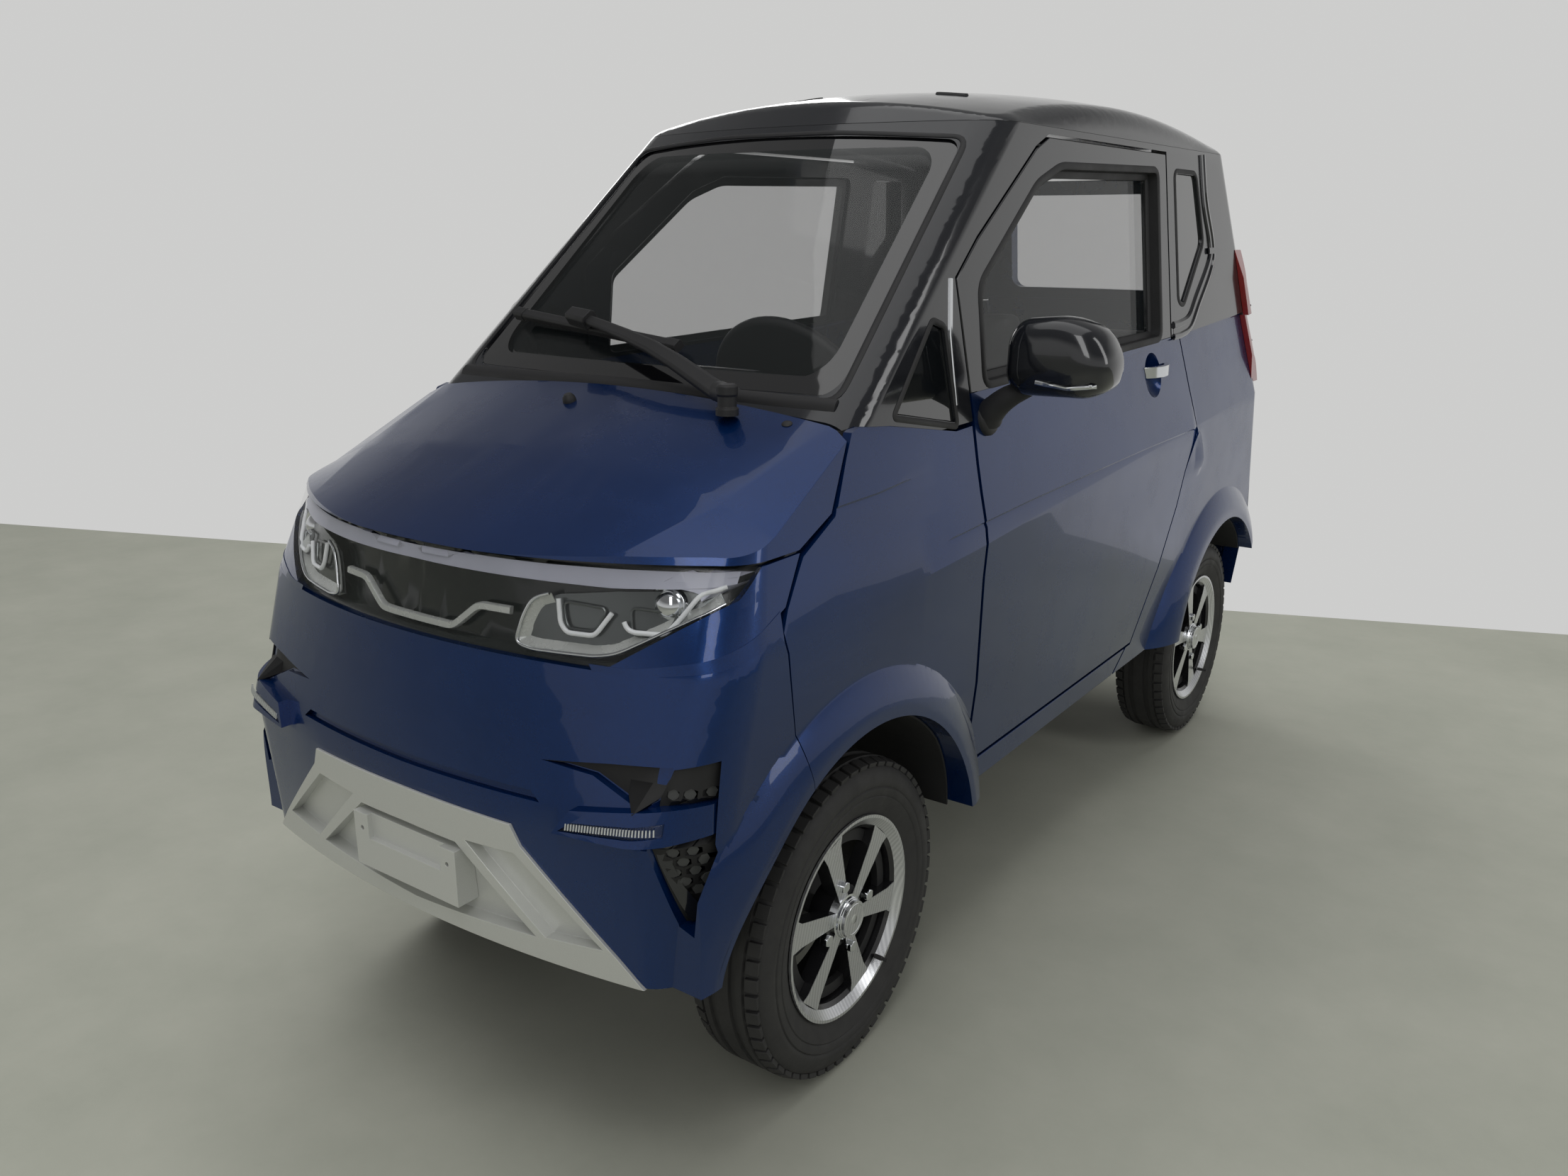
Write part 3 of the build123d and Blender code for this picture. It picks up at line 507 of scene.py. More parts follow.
def patch(bm, outline, view, skin, lift=0.0, thickness=1.0, cell=30.0):
    # a sheet with this outline laid on a skin, with its thickness below the lift
    start, aim = views[view]
    flat = bmesh.new()
    flat.faces.new([flat.verts.new((a, b, 0)) for a, b in outline])
    for axis in range(2):
        lows, highs = min(p[axis] for p in outline), max(p[axis] for p in outline)
        for k in range(1, int((highs - lows) / cell) + 1):
            normal = Vector((1, 0, 0)) if axis == 0 else Vector((0, 1, 0))
            bmesh.ops.bisect_plane(flat, geom=[*flat.verts, *flat.edges, *flat.faces],
                                   plane_co=normal * (lows + k * cell), plane_no=normal)
    outer, inner = {}, {}
    for vert in flat.verts:
        place, normal, _, _ = skin.ray_cast(start(vert.co.x, vert.co.y), aim)
        if place is None:
            place, normal, _, _ = skin.find_nearest(start(vert.co.x, vert.co.y) + aim * 0.5)
        normal = -normal if normal.dot(aim) > 0 else normal
        outer[vert] = bm.verts.new(place + normal * lift / 1000)
        inner[vert] = bm.verts.new(place + normal * (lift - thickness) / 1000)
    for face in flat.faces:
        bm.faces.new([outer[v] for v in face.verts])
        bm.faces.new([inner[v] for v in reversed(face.verts)])
    for edge in flat.edges:
        if edge.is_boundary:
            a, b = edge.verts
            bm.faces.new((outer[a], outer[b], inner[b], inner[a]))
    flat.free()
    bmesh.ops.recalc_face_normals(bm, faces=bm.faces)


def lathe(bm, profile, centre, axis=Vector((1, 0, 0)), steps=48):  # (along, radius) about an axis
    turn = axis.to_track_quat("Z", "Y").to_matrix()
    angles = [2 * math.pi * i / steps for i in range(steps)]
    rings = []
    for along, radius in profile:
        middle = centre + axis * along / 1000
        spokes = [turn @ Vector((math.cos(t), math.sin(t), 0)) * radius / 1000 for t in angles]
        rings.append([bm.verts.new(middle + spoke) for spoke in (spokes if radius > 0.01 else [Vector()])])
    for first, last in zip(rings, rings[1:]):
        for i in range(steps):
            ring = [first[i % len(first)], first[(i + 1) % steps % len(first)],
                    last[(i + 1) % steps % len(last)], last[i % len(last)]]
            corners = list(dict.fromkeys(ring))
            if len(corners) > 2:
                bm.faces.new(corners)
    if len(rings[0]) > 1 and len(rings[-1]) > 1 and profile[0] != profile[-1]:
        bm.faces.new(rings[0])
        bm.faces.new(rings[-1])
    bmesh.ops.remove_doubles(bm, verts=bm.verts, dist=1e-6)
    bmesh.ops.recalc_face_normals(bm, faces=bm.faces)


def block(bm, low, high, **bevel):
    for vert in bmesh.ops.create_cube(bm, size=1.0)["verts"]:
        vert.co = (low + high) / 2 + Vector(a * b for a, b in zip(vert.co, high - low))
    if bevel:
        bmesh.ops.bevel(bm, geom=bm.edges, affect="EDGES", **bevel)


def evaluatedMesh(holder):
    bpy.context.view_layer.update()
    return bpy.data.meshes.new_from_object(holder.evaluated_get(bpy.context.evaluated_depsgraph_get()))


class Growth:  # a Geometry Nodes tree with named inputs, applied to a mesh of its own
    def __init__(self, name):
        self.name = name
        self.tree = bpy.data.node_groups.new(name, "GeometryNodeTree")
        self.tree.interface.new_socket("Geometry", in_out="OUTPUT", socket_type="NodeSocketGeometry")
        self.given = self.tree.nodes.new("NodeGroupInput")
        self.last = self.tree.nodes.new("NodeGroupOutput")
        self.values = {}

    def input(self, name, kind, value):
        socket = self.tree.interface.new_socket(name, in_out="INPUT", socket_type="NodeSocket" + kind)
        if kind != "Geometry":
            self.values[socket.identifier] = value
        return self.given.outputs[name]

    def node(self, kind, settings=None, inputs=None, out=0):
        made = self.tree.nodes.new(kind)
        for key, value in (settings or {}).items():
            setattr(made, key, value)
        for key, value in (inputs or {}).items():
            if isinstance(value, bpy.types.NodeSocket):
                self.tree.links.new(value, made.inputs[key])
            else:
                made.inputs[key].default_value = value
        return made.outputs[out]

    def maths(self, operation, first, second):
        return self.node("ShaderNodeMath", {"operation": operation}, {0: first, 1: second})

    def scattered(self, points, thing, rotation, scale=(1, 1, 1)):
        return self.node("GeometryNodeInstanceOnPoints", {}, {"Points": points, "Instance": thing,
                                                             "Rotation": rotation, "Scale": scale})

    def mesh(self, instances, material, base=None):
        real = self.node("GeometryNodeRealizeInstances", {}, {0: instances})
        coated = self.node("GeometryNodeSetMaterial", {}, {"Geometry": real, "Material": material})
        self.tree.links.new(coated, self.last.inputs[0])
        holder = bpy.data.objects.new(self.name, base or bpy.data.meshes.new(self.name))
        scene.collection.objects.link(holder)
        modifier = holder.modifiers.new(self.name, "NODES")
        modifier.node_group = self.tree
        for identifier, value in self.values.items():
            modifier[identifier] = value
        made = evaluatedMesh(holder)
        holder.modifiers.remove(modifier)
        bpy.data.objects.remove(holder)
        return made


def planted(name, spots, thing, material, body, slot, bevel=0.0):  # one thing on each (place, normal)
    growth = Growth(name)
    places = growth.input("Places", "Geometry", None)
    points = growth.node("GeometryNodeMeshToPoints", {}, {"Mesh": places})
    outward = growth.node("GeometryNodeInputNamedAttribute", {"data_type": "FLOAT_VECTOR"},
                          {"Name": "outward"})
    facing = growth.node("FunctionNodeAlignRotationToVector", {"axis": "Z"}, {"Vector": outward})
    level = growth.node("FunctionNodeAlignRotationToVector", {"axis": "Y", "pivot_axis": "Z"},
                        {"Rotation": facing, "Vector": (0.0, 0.0, 1.0)})
    base = bpy.data.meshes.new(name + "Places")
    base.from_pydata([place for place, _ in spots], [], [])
    arrows = base.attributes.new("outward", "FLOAT_VECTOR", "POINT")
    for item, (_, normal) in zip(arrows.data, spots):
        item.vector = normal
    mesh = growth.mesh(growth.scattered(points, thing(growth), level), finishes[material], base)
    pieceOf(mesh, name, body, slot, 30.0, bevel, 1)


def plate(corners, radius, depth):  # a maker of flat polygons, such as honeycomb cells and bolt heads
    def make(growth):
        size = growth.input("Radius", "Float", radius / 1000)
        tall = growth.input("Depth", "Float", depth / 1000)
        return growth.node("GeometryNodeMeshCylinder", {}, {
            "Vertices": corners, "Radius": size, "Depth": tall})
    return make


def bar(wide, high, deep):
    def make(growth):
        sizes = [growth.input(word, "Float", value / 1000) for word, value in
                 (("Width", wide), ("Height", high), ("Depth", deep))]
        box = growth.node("ShaderNodeCombineXYZ", {}, dict(enumerate(sizes)))
        return growth.node("GeometryNodeMeshCube", {}, {"Size": box})
    return make


wheels = {"front_left": 1, "front_right": -1, "rear_left": 1, "rear_right": -1}
tyre = {
    "ribs": [(-37, -25), (-13, 13), (25, 37)], "grooveDepth": 5.0, "crownIn": 0.3, "slope": 0.8, "under": 8,
    "shoulder": (40.0, 60.0), "blocks": 58, "blockShare": 0.74, "blockLean": 0.26,
    "blockIn": 7.2, "blockHeight": 8.5,
    "wall": [(47.6, 152.7), (52, 165), (60, 180), (65.6, 198), (64.4, 200), (66.8, 203), (67.2, 213),
             (65.2, 215), (67.2, 218), (67.2, 224), (64.5, 235), (60, 245)],
}


def tyreTread(place):
    crown, floor = tyreRadius * 1000 - tyre["crownIn"], tyreRadius * 1000 - tyre["grooveDepth"]
    edge, slope = tyre["shoulder"][0] + tyre["under"], tyre["slope"]
    tread = [(-edge, floor - 3)]
    for first, last in tyre["ribs"]:
        tread += [(first - slope, floor), (first + slope, crown)]
        tread += [(last - slope, crown), (last + slope, floor)]
    farWall = [(-x, r) for x, r in tyre["wall"]]
    bm = bmesh.new()
    lathe(bm, [*farWall, *tread, (edge, floor - 3), *reversed(tyre["wall"]), farWall[0]],
          middleOf("tyre_" + place), steps=120)
    dressNode("tyre_" + place, bm, smoothAngle=38, bevel=0.0)


def shoulderBlocks(place):
    inner, outer = tyre["shoulder"]
    growth = Growth("shoulderBlocks_" + place)
    count = growth.input("Blocks round the tyre", "Int", tyre["blocks"])
    radius = growth.input("Block radius", "Float", tyreRadius - tyre["blockIn"] / 1000)
    pitch = growth.maths("DIVIDE", 2 * math.pi * tyreRadius, count)
    long = growth.maths("MULTIPLY", pitch, tyre["blockShare"])
    tall = growth.input("Block height", "Float", tyre["blockHeight"] / 1000)
    size = growth.node("ShaderNodeCombineXYZ", {}, {0: (outer - inner) / 1000, 1: long, 2: tall})
    cube = growth.node("GeometryNodeMeshCube", {}, {"Size": size})
    index = growth.node("GeometryNodeInputIndex")
    angle = growth.maths("MULTIPLY", growth.maths("DIVIDE", index, count), 2 * math.pi)
    rows = []
    for way, phase in ((1, 0.0), (-1, 0.5)):
        turned = growth.maths("ADD", angle, growth.maths("DIVIDE", phase * 2 * math.pi, count))
        y = growth.maths("MULTIPLY", growth.maths("SINE", turned, 0.0), radius)
        z = growth.maths("MULTIPLY", growth.maths("COSINE", turned, 0.0), radius)
        spot = growth.node("ShaderNodeCombineXYZ", {}, {0: way * (inner + outer) / 2000, 1: y, 2: z})
        points = growth.node("GeometryNodePoints", {}, {"Count": count, "Position": spot})
        back = growth.maths("MULTIPLY", turned, -1.0)
        across = growth.node("ShaderNodeCombineXYZ", {}, {0: back, 1: 0.0, 2: 0.0})
        tipped = growth.node("FunctionNodeEulerToRotation", {}, {0: across})
        local = growth.node("FunctionNodeEulerToRotation", {}, {0: (0.0, way * tyre["blockLean"], 0.0)})
        both = growth.node("FunctionNodeRotateRotation", {"rotation_space": "LOCAL"}, {0: tipped, 1: local})
        rows.append(growth.scattered(points, cube, both))
    joined = growth.tree.nodes.new("GeometryNodeJoinGeometry")
    for row in rows:
        growth.tree.links.new(row, joined.inputs[0])
    mesh = growth.mesh(joined.outputs[0], finishes["tyre_rubber"])
    mesh.transform(Matrix.Translation(middleOf("tyre_" + place)))
    pieceOf(mesh, "shoulder_blocks_" + place, bodyOf["tyre_" + place], "tyre_rubber", 30.0, 0.0008, 1)


rimParts = {   # profiles as (outwards from the wheel's middle, radius)
    "hub_cap": ([(44, 37), (50.5, 37), (51.5, 34), (55, 33), (56, 31.5), (58, 31.5), (59, 30), (63.5, 27),
                 (64.5, 25), (63.3, 23), (63.3, 9), (64.5, 7.5), (64.5, 0)], 64, "bright_metal", 40),
    "drum_ring": ([(22, 120), (34, 120), (34, 139), (22, 139), (22, 120)], 72, "matte_black", 30),
    "valve": ([(0, 4), (14, 4), (15, 3), (24, 3), (24, 0)], 12, "tyre_rubber", 30),
}
valveAt = {"out": 0.052, "radius": 0.147, "toward": (0, 0.6, -0.8)}
lugNuts = {"count": 4, "circle": 0.060, "radius": 0.0105, "depth": 0.014, "out": 0.0505,
           "turn": 12, "ownTurn": 0.3}


def wheelTrim(place, side):
    body, centre = bodyOf["rim_" + place], middleOf("tyre_" + place)
    axis = Vector((side, 0, 0))
    valve = centre + axis * valveAt["out"] + Vector(valveAt["toward"]).normalized() * valveAt["radius"]
    for name, (profile, steps, slot, smoothAngle) in rimParts.items():
        spot = valve if name == "valve" else centre
        onePiece(f"{name}_{place}", lambda bm: lathe(bm, profile, spot, axis, steps), body, slot, smoothAngle)
    growth = Growth("lugNuts_" + place)
    count = growth.input("Nuts", "Int", lugNuts["count"])
    ring = growth.node("GeometryNodeMeshCircle", {}, {"Vertices": count, "Radius": lugNuts["circle"]})
    nut = growth.node("GeometryNodeMeshCylinder", {}, {
        "Vertices": 6, "Radius": lugNuts["radius"], "Depth": lugNuts["depth"]})
    mesh = growth.mesh(growth.scattered(ring, nut, (0.0, 0.0, lugNuts["ownTurn"])), finishes["bright_metal"])
    turn = axis.to_track_quat("Z", "Y").to_matrix().to_4x4()
    mesh.transform(Matrix.Translation(centre + axis * lugNuts["out"]) @ turn
                   @ Matrix.Rotation(math.radians(lugNuts["turn"]), 4, "Z"))
    pieceOf(mesh, "lug_nuts_" + place, body, "bright_metal", 25, 0.0015, 2)


def grown(points, amount):  # an outline moved outwards by an amount, whichever way round it runs
    area = sum(a[0] * b[1] - b[0] * a[1] for a, b in zip(points, points[1:] + points[:1]))
    out = []
    for i, here in enumerate(points):
        before, after = points[i - 1], points[(i + 1) % len(points)]
        normals = []
        for first, last in ((before, here), (here, after)):
            run = Vector((last[0] - first[0], last[1] - first[1])).normalized()
            normals.append(Vector((run.y, -run.x)) * (1 if area > 0 else -1))
        half = (normals[0] + normals[1]).normalized()
        out.append(tuple(Vector(here) + half * amount / max(half.dot(normals[0]), 0.4)))
    return out


belt = {"frontStation": 352, "frontLevel": 1053, "rearStation": 1312, "rearLevel": 1079}


def doorSkins(side):
    node = "door_panel_" + side
    start = at(0, belt["frontStation"], belt["frontLevel"])
    along = at(0, belt["rearStation"], belt["rearLevel"]) - start
    normal = Vector((0, -along.z, along.y)).normalized()
    for name, way, slot in (("upper", 1, "gloss_black"), ("lower", -1, "blue_paint")):
        bm = keptSide(pressed(mergedCopy(node), node), start, normal * way)
        dressNode(node, bm, name + "_" + node, slot)


mirror = {
    "outline": [(492, 1078), (495, 1146), (514, 1174), (590, 1181), (648, 1162), (673, 1114), (666, 1072),
                (634, 1054), (514, 1052)],
    "centre": (582, 1117),
    "layers": [(341, 0.42), (343, 0.58), (347, 0.72), (354, 0.84), (364, 0.93), (380, 0.985), (396, 1.0),
               (424, 0.99), (433, 0.965), (435, 0.94), (431, 0.91), (428, 0.90)],
    "glass": [(426, 0.885), (429.5, 0.885)],
    "arm": [(452, 397, 1006), (462, 393, 1020), (486, 391, 1042), (520, 392, 1062), (556, 393, 1080)],
    "armRadii": [27, 24, 20, 17, 15],
    "foot": [(-7, 30), (4, 30), (9, 27), (11, 20), (11, 0)],
    "footAt": (452, 397, 1008), "footAxis": (1, 0, 0.2),
    "strip": [(560, 1080), (610, 1073), (655, 1078)],
}


def mirrorRing(station, share):
    middle = Vector(mirror["centre"])
    spots = [middle + (Vector(p) - middle) * share for p in rounded(mirror["outline"], 60, 6)]
    return [at(spot.x, station, spot.y) for spot in spots]


def loft(bm, rings):  # closed rings of the same count joined into one closed skin
    made = [[bm.verts.new(place) for place in ring] for ring in rings]
    for first, last in zip(made, made[1:]):
        for i in range(len(first)):
            bm.faces.new((first[i - 1], first[i], last[i], last[i - 1]))
    bm.faces.new(made[0])
    bm.faces.new(made[-1])
    bmesh.ops.recalc_face_normals(bm, faces=bm.faces)


def heading(places, i):
    return (places[min(i + 1, len(places) - 1)] - places[max(i - 1, 0)]).normalized()


def tube(bm, places, radii, count=16, flat=1.0):  # a bar with a radius in millimetres at each place
    rings, turns = [], [2 * math.pi * k / count for k in range(count)]
    for i, place in enumerate(places):
        along = heading(places, i)
        side = along.cross(Vector((0, 0, 1)) if abs(along.z) < 0.9 else Vector((0, 1, 0))).normalized()
        up = side.cross(along)
        spokes = [side * math.cos(t) + up * math.sin(t) * flat for t in turns]
        rings.append([place + spoke * radii[i] / 1000 for spoke in spokes])
    loft(bm, rings)


def smooth(points, steps=4):  # a Catmull-Rom curve through some places
    ends = [points[0], *points, points[-1]]
    curve = []
    for p0, p1, p2, p3 in zip(ends, ends[1:], ends[2:], ends[3:]):
        for k in range(steps):
            t = k / steps
            curve.append(0.5 * (2 * p1 + (p2 - p0) * t + (2 * p0 - 5 * p1 + 4 * p2 - p3) * t ** 2
                                + (3 * p1 - p0 - 3 * p2 + p3) * t ** 3))
    return [*curve, points[-1]]


def mirrors():
    skin = skinOf("mirror_left")

    def head(bm):
        loft(bm, [mirrorRing(*layer) for layer in mirror["layers"]])

    def glass(bm):
        loft(bm, [mirrorRing(*layer) for layer in mirror["glass"]])

    def arm(bm):
        places = smooth([at(*p) for p in mirror["arm"]])
        radii = [mirror["armRadii"][min(i // 4, 4)] for i in range(len(places))]
        near = [radii[max(0, i - 2):i + 3] for i in range(len(radii))]
        tube(bm, places, [sum(some) / len(some) for some in near], 20, 0.9)
        lathe(bm, mirror["foot"], at(*mirror["footAt"]), Vector(mirror["footAxis"]).normalized())

    def strip(bm):
        trim(bm, mirror["strip"], "front", skin, flatSection(7, -3, 1.0), 0.5, 6.0)

    for side, turned in leftAndRight:
        for name, build, slot in (("head", head, "gloss_black"), ("arm", arm, "matte_black")):
            onePiece(f"mirror_{name}_{side}", build, "door_" + side, slot, 50.0, 0.0, None, turned,
                     "mirror_" + side)
    sidePiece("mirror_glass", glass, "door_{}", "bright_metal", 30, material=finishes["mirror"])
    sidePiece("mirror_strip", strip, "door_{}", "bright_metal", 30)


wiper = {
    "blade": [(-338, 101, 1163), (77, 46, 1131)], "arm": [(226, -33, 1077), (64, 6, 1124), (-142, 62, 1165)],
    "pivot": (262, -62, 1058), "glassNormal": (0.0, -0.62, 0.78), "armRise": 12, "spineDepth": 8,
    "bladeBars": [([0, 0.04, 0.96, 1], [15, 19, 19, 15], [9, 13, 13, 9]),   # shares, widths, heights
                  ([-0.012, 0.045], [21, 21], [16, 16]), ([0.955, 1.012], [21, 21], [16, 16])],
    "armWidths": [30, 29, 27, 24, 21, 19, 17], "armHeights": [13, 13, 12, 11, 10, 9, 8],
    "pivotProfile": [(-8, 17), (2, 17), (4, 14), (20, 14), (22, 16), (34, 16), (37, 12), (37, 0)],
}


def flatBar(bm, places, widths, heights, normal):
    rings = []
    for i, (place, wide, high) in enumerate(zip(places, widths, heights)):
        along = heading(places, i)
        side = along.cross(normal).normalized()
        w, h = side * wide / 2000, side.cross(along) * high / 2000
        rings.append([place - w - h, place - w + h * 0.5, place - w * 0.7 + h, place + w * 0.7 + h,
                      place + w + h * 0.5, place + w - h])
    loft(bm, rings)


def wiperParts():
    normal = Vector(wiper["glassNormal"])
    first, last = [at(*p) for p in wiper["blade"]]
    places, pivot = [at(*p) for p in wiper["arm"]], at(*wiper["pivot"])
    places[1] += normal * wiper["armRise"] / 1000
    blade, arm, post = bmesh.new(), bmesh.new(), bmesh.new()
    for shares, widths, heights in wiper["bladeBars"]:
        flatBar(blade, [first.lerp(last, share) for share in shares], widths, heights, normal)
    spine = [end - normal * wiper["spineDepth"] / 1000 for end in (first, last)]
    flatBar(blade, spine, [4, 4], [6, 6], normal)
    flatBar(arm, smooth(places, 3), wiper["armWidths"], wiper["armHeights"], normal)
    clip = [places[-1] + Vector((0.020, -0.004, -0.002)), places[-1] - Vector((0.034, -0.007, -0.003))]
    flatBar(arm, clip, [30, 26], [24, 22], normal)
    lathe(post, wiper["pivotProfile"], pivot, Vector((0, 0, 1)), 28)
    tube(post, [pivot + Vector((0.002, 0, 0.022)), places[0] + normal * 0.002], [15, 16])
    for name, bm, bevel in (("blade", blade, 0.001), ("arm", arm, 0.0015), ("pivot", post, 0.001)):
        dressNode("wiper", bm, "wiper_" + name, None, 35.0, bevel)


lampBar = {
    "lensGap": 0.0015, "housingDepth": 26.0, "bandDepth": -8.0, "wingDepth": -16.0, "unitDepth": -13.0,
    "projectorDepth": -24.0, "reflectorDepth": -19.0, "cupRimDepth": -15.0, "cups": [283, 371],
    "bandTop": [(0, 898), (215, 896), (318, 896), (400, 901), (470, 906)],
    "bandLow": [(0, 877), (215, 874), (318, 872), (395, 875), (440, 879), (470, 884)],
    "unitEdge": [(326, 772), (478, 873)], "tipEdge": [(-300, 857), (-246, 905)],
    "sideBand": [(-384, 881), (-330, 884), (-262, 893), (-250, 899), (-384, 899)],
    "wing": [(-186, 828), (-122, 828), (-76, 792), (76, 792), (122, 828), (186, 828)],
    "wingSection": [(-5.5, -5), (-5.5, 0), (-4, 3), (4, 3), (5.5, 0), (5.5, -5)],
    "bezelSection": [(0, -1), (0, 1.5), (-15, -7), (-15, -9)],
    "rim": [(249, 863), (213, 851), (201, 828), (190, 790), (214, 784), (310, 786), (338, 793), (463, 866)],
    "guides": [[(247, 861), (254, 822), (264, 811), (303, 811), (325, 848)],
               [(334, 838), (342, 824), (352, 820), (390, 820), (403, 838), (420, 870), (455, 882)]],
    "projector": (384, 855), "projectorProfile": [(-14, 27), (4, 27), (6, 25.5), (4, 23), (2, 20), (8, 17),
                                                  (12, 11), (14, 5), (14.4, 0)],
    "cornerSeam": {"stations": (-408, -226, 7), "middle": [(-520, 783), (-389, 772), (-220, 835)],
                   "furthest": 45, "overlap": 1.6, "proud": 0.35, "thickness": 2.4},
    "reflector": [(246, 858), (215, 847), (206, 828), (193, 788), (214, 781), (309, 783), (338, 791),
                  (452, 860), (440, 876), (320, 868)],
}


def lampHousing():
    lens = skinOf("lamp_lens")
    bm = mergedCopy("lamp_housing")
    for vert in bm.verts:
        if lens.find_nearest(vert.co)[3] < lampBar["lensGap"]:
            inwards = (Vector((0, 0.3, vert.co.z)) - vert.co).normalized()
            vert.co += inwards * lampBar["housingDepth"] / 1000
    dressNode("lamp_housing", bm, smoothAngle=25, bevel=0.0)


def lampLens():  # the clear unit ends on rising lines; outside them the same skin is painted
    (x1, z1), (x2, z2) = lampBar["unitEdge"]
    (s1, low), (s2, high) = lampBar["tipEdge"]
    behind = (at(0, s1, low), Vector((0, low - high, s2 - s1)).normalized())
    under = [(at(x1 * way, 0, z1), Vector(((z1 - z2) * way, 0, x2 - x1)).normalized()) for way in (1, -1)]
    bm = mergedCopy("lamp_lens")
    for point, normal in (*under, behind):
        keptSide(bm, point, normal)
    dressNode("lamp_lens", bm, "lamp_glass", None, 30.0, 0.0)
    for (side, turned), (point, normal) in zip(leftAndRight, under):
        half = (Vector(), Vector((-1 if turned else 1, 0, 0)))
        for name, cuts in (("lamp_corner_", (half, (point, -normal))),
                           ("lamp_corner_tip_", (half, (point, normal), (behind[0], -behind[1])))):
            bm = mergedCopy("lamp_lens")
            for cut in cuts:
                keptSide(bm, *cut)
            dressNode("lamp_lens", bm, name + side, "blue_paint", 30.0, 0.0)


def cornerSeam():  # the painted corner runs down into the bumper without a gap
    size = lampBar["cornerSeam"]
    start, aim = views["left"]
    lens, below = skinOf("lamp_lens"), skinOf("front_bumper", "front_fenders")

    def edge(skin, station, level, way):  # the first place of a skin, going up or down from the gap
        for i in range(size["furthest"]):
            place, normal, _, _ = skin.ray_cast(start(station, level + way * i), aim)
            if place is not None and place.x > 0:
                out = normal if normal.x > 0 else -normal
                return place + Vector((0, 0, way * size["overlap"] / 1000)), out

    def build(bm):
        rings = []
        (s1, z1), (s2, z2), (s3, z3) = size["middle"]
        for station in range(*size["stations"]):
            slope = (z2 - z1) / (s2 - s1) if station < s2 else (z3 - z2) / (s3 - s2)
            level = z2 + slope * (station - s2)
            ends = [edge(lens, station, level, 1), edge(below, station, level, -1)]
            if None not in ends:
                (high, up), (low, down) = ends
                normal = (up + down).normalized()
                over = normal * size["proud"] / 1000
                under = normal * (size["proud"] - size["thickness"]) / 1000
                rings.append([high + over, low + over, low + under, high + under])
        loft(bm, rings)

    sidePiece("corner_seam_cover", build, "root", "blue_paint", 60)


def lampInsides():
    skin = skinOf("lamp_lens")

    def line(bm, points, radius, depth, closed=False):
        trim(bm, points, "front", skin, roundSection(radius, 8), depth, 6.0, closed)

    def opened(outline, radius, steps):   # an open line with arcs at its corners
        return rounded(outline, radius, steps)[steps:-steps]

    def wing(bm):
        points = opened(lampBar["wing"], 10, 3)
        trim(bm, points, "front", skin, lampBar["wingSection"], lampBar["wingDepth"])

    def guides(bm):
        for guide in lampBar["guides"]:
            line(bm, opened(guide, 8, 3), 3.4, lampBar["unitDepth"] + 3)

    def rim(bm):
        line(bm, opened(lampBar["rim"], 14, 4), 2.4, lampBar["unitDepth"] + 5)

    def bezel(bm):
        points = opened(lampBar["rim"], 14, 4)
        trim(bm, points, "front", skin, lampBar["bezelSection"], lampBar["unitDepth"], 6.0)

    def projector(bm):
        centre, normal = drape([lampBar["projector"]] * 2, "front", skin, lampBar["projectorDepth"])[0]
        lathe(bm, lampBar["projectorProfile"], centre, (normal + Vector((0, -1.5, 0))).normalized(), 40)

    def reflector(bm):
        patch(bm, lampBar["reflector"], "front", skin, lampBar["reflectorDepth"], 2.0, 16.0)
        for middle in lampBar["cups"]:
            cup = [(middle - 30, 850), (middle - 21, 816), (middle + 18, 816), (middle + 30, 846)]
            line(bm, rounded(cup, 10, 3), 2.2, lampBar["cupRimDepth"], True)

    def band(bm):
        outline = [*lampBar["bandLow"], *reversed(lampBar["bandTop"])]
        patch(bm, outline, "front", skin, lampBar["bandDepth"], 2.0, 24.0)

    def sideBand(bm):
        patch(bm, lampBar["sideBand"], "left", skin, lampBar["bandDepth"], 2.0, 24.0)

    onePiece("lamp_wing", wing, "root", "bright_metal", 35, material=finishes["lamp_silver"])
    sidePiece("lamp_side_band", sideBand, "root", "lilac_trim", 30)
    sidePiece("lamp_guides", guides, "root", "lamp_white", 50)
    sidePiece("lamp_rim", rim, "root", "bright_metal", 50)
    sidePiece("lamp_bezel", bezel, "root", "cast_metal", 30, material=finishes["lamp_silver"])
    sidePiece("lamp_projector", projector, "root", "bright_metal", 40)
    sidePiece("lamp_reflector", reflector, "root", "cast_metal", 30, material=finishes["lamp_grey"])
    sidePiece("lamp_band", band, "root", "lilac_trim", 30)


vents = {
    # the slot's outline, where a black sheet paints the shade of the recessed slot
    "slot": [(256, 646.5), (350, 655.5), (433.5, 661.5), (422.5, 623), (404, 608), (331, 640.5)],
    "border": [(419, 572), (451, 449), (463, 453), (436, 556), (440, 571)],
    "cellStart": (416, 450), "cellPitch": (17.0, 14.7), "cellRadius": 8.2, "cellDepth": 5.0, "cellSunk": 4.5,
    "rows": 15, "columns": 5, "cellMargin": 8.0, "probes": [(0, 8.4), (0, -8.4), (8, 0), (-8, 0)],
    "outline": [(432, 660), (476, 668), (481, 438), (450, 446), (417, 572), (420, 622)],
    "bladeRange": (556, 621),
    "ribs": [(311, 577), (434, 589.5)], "ribCount": 30, "ribSize": (1.7, 8.6, 2.4),
}


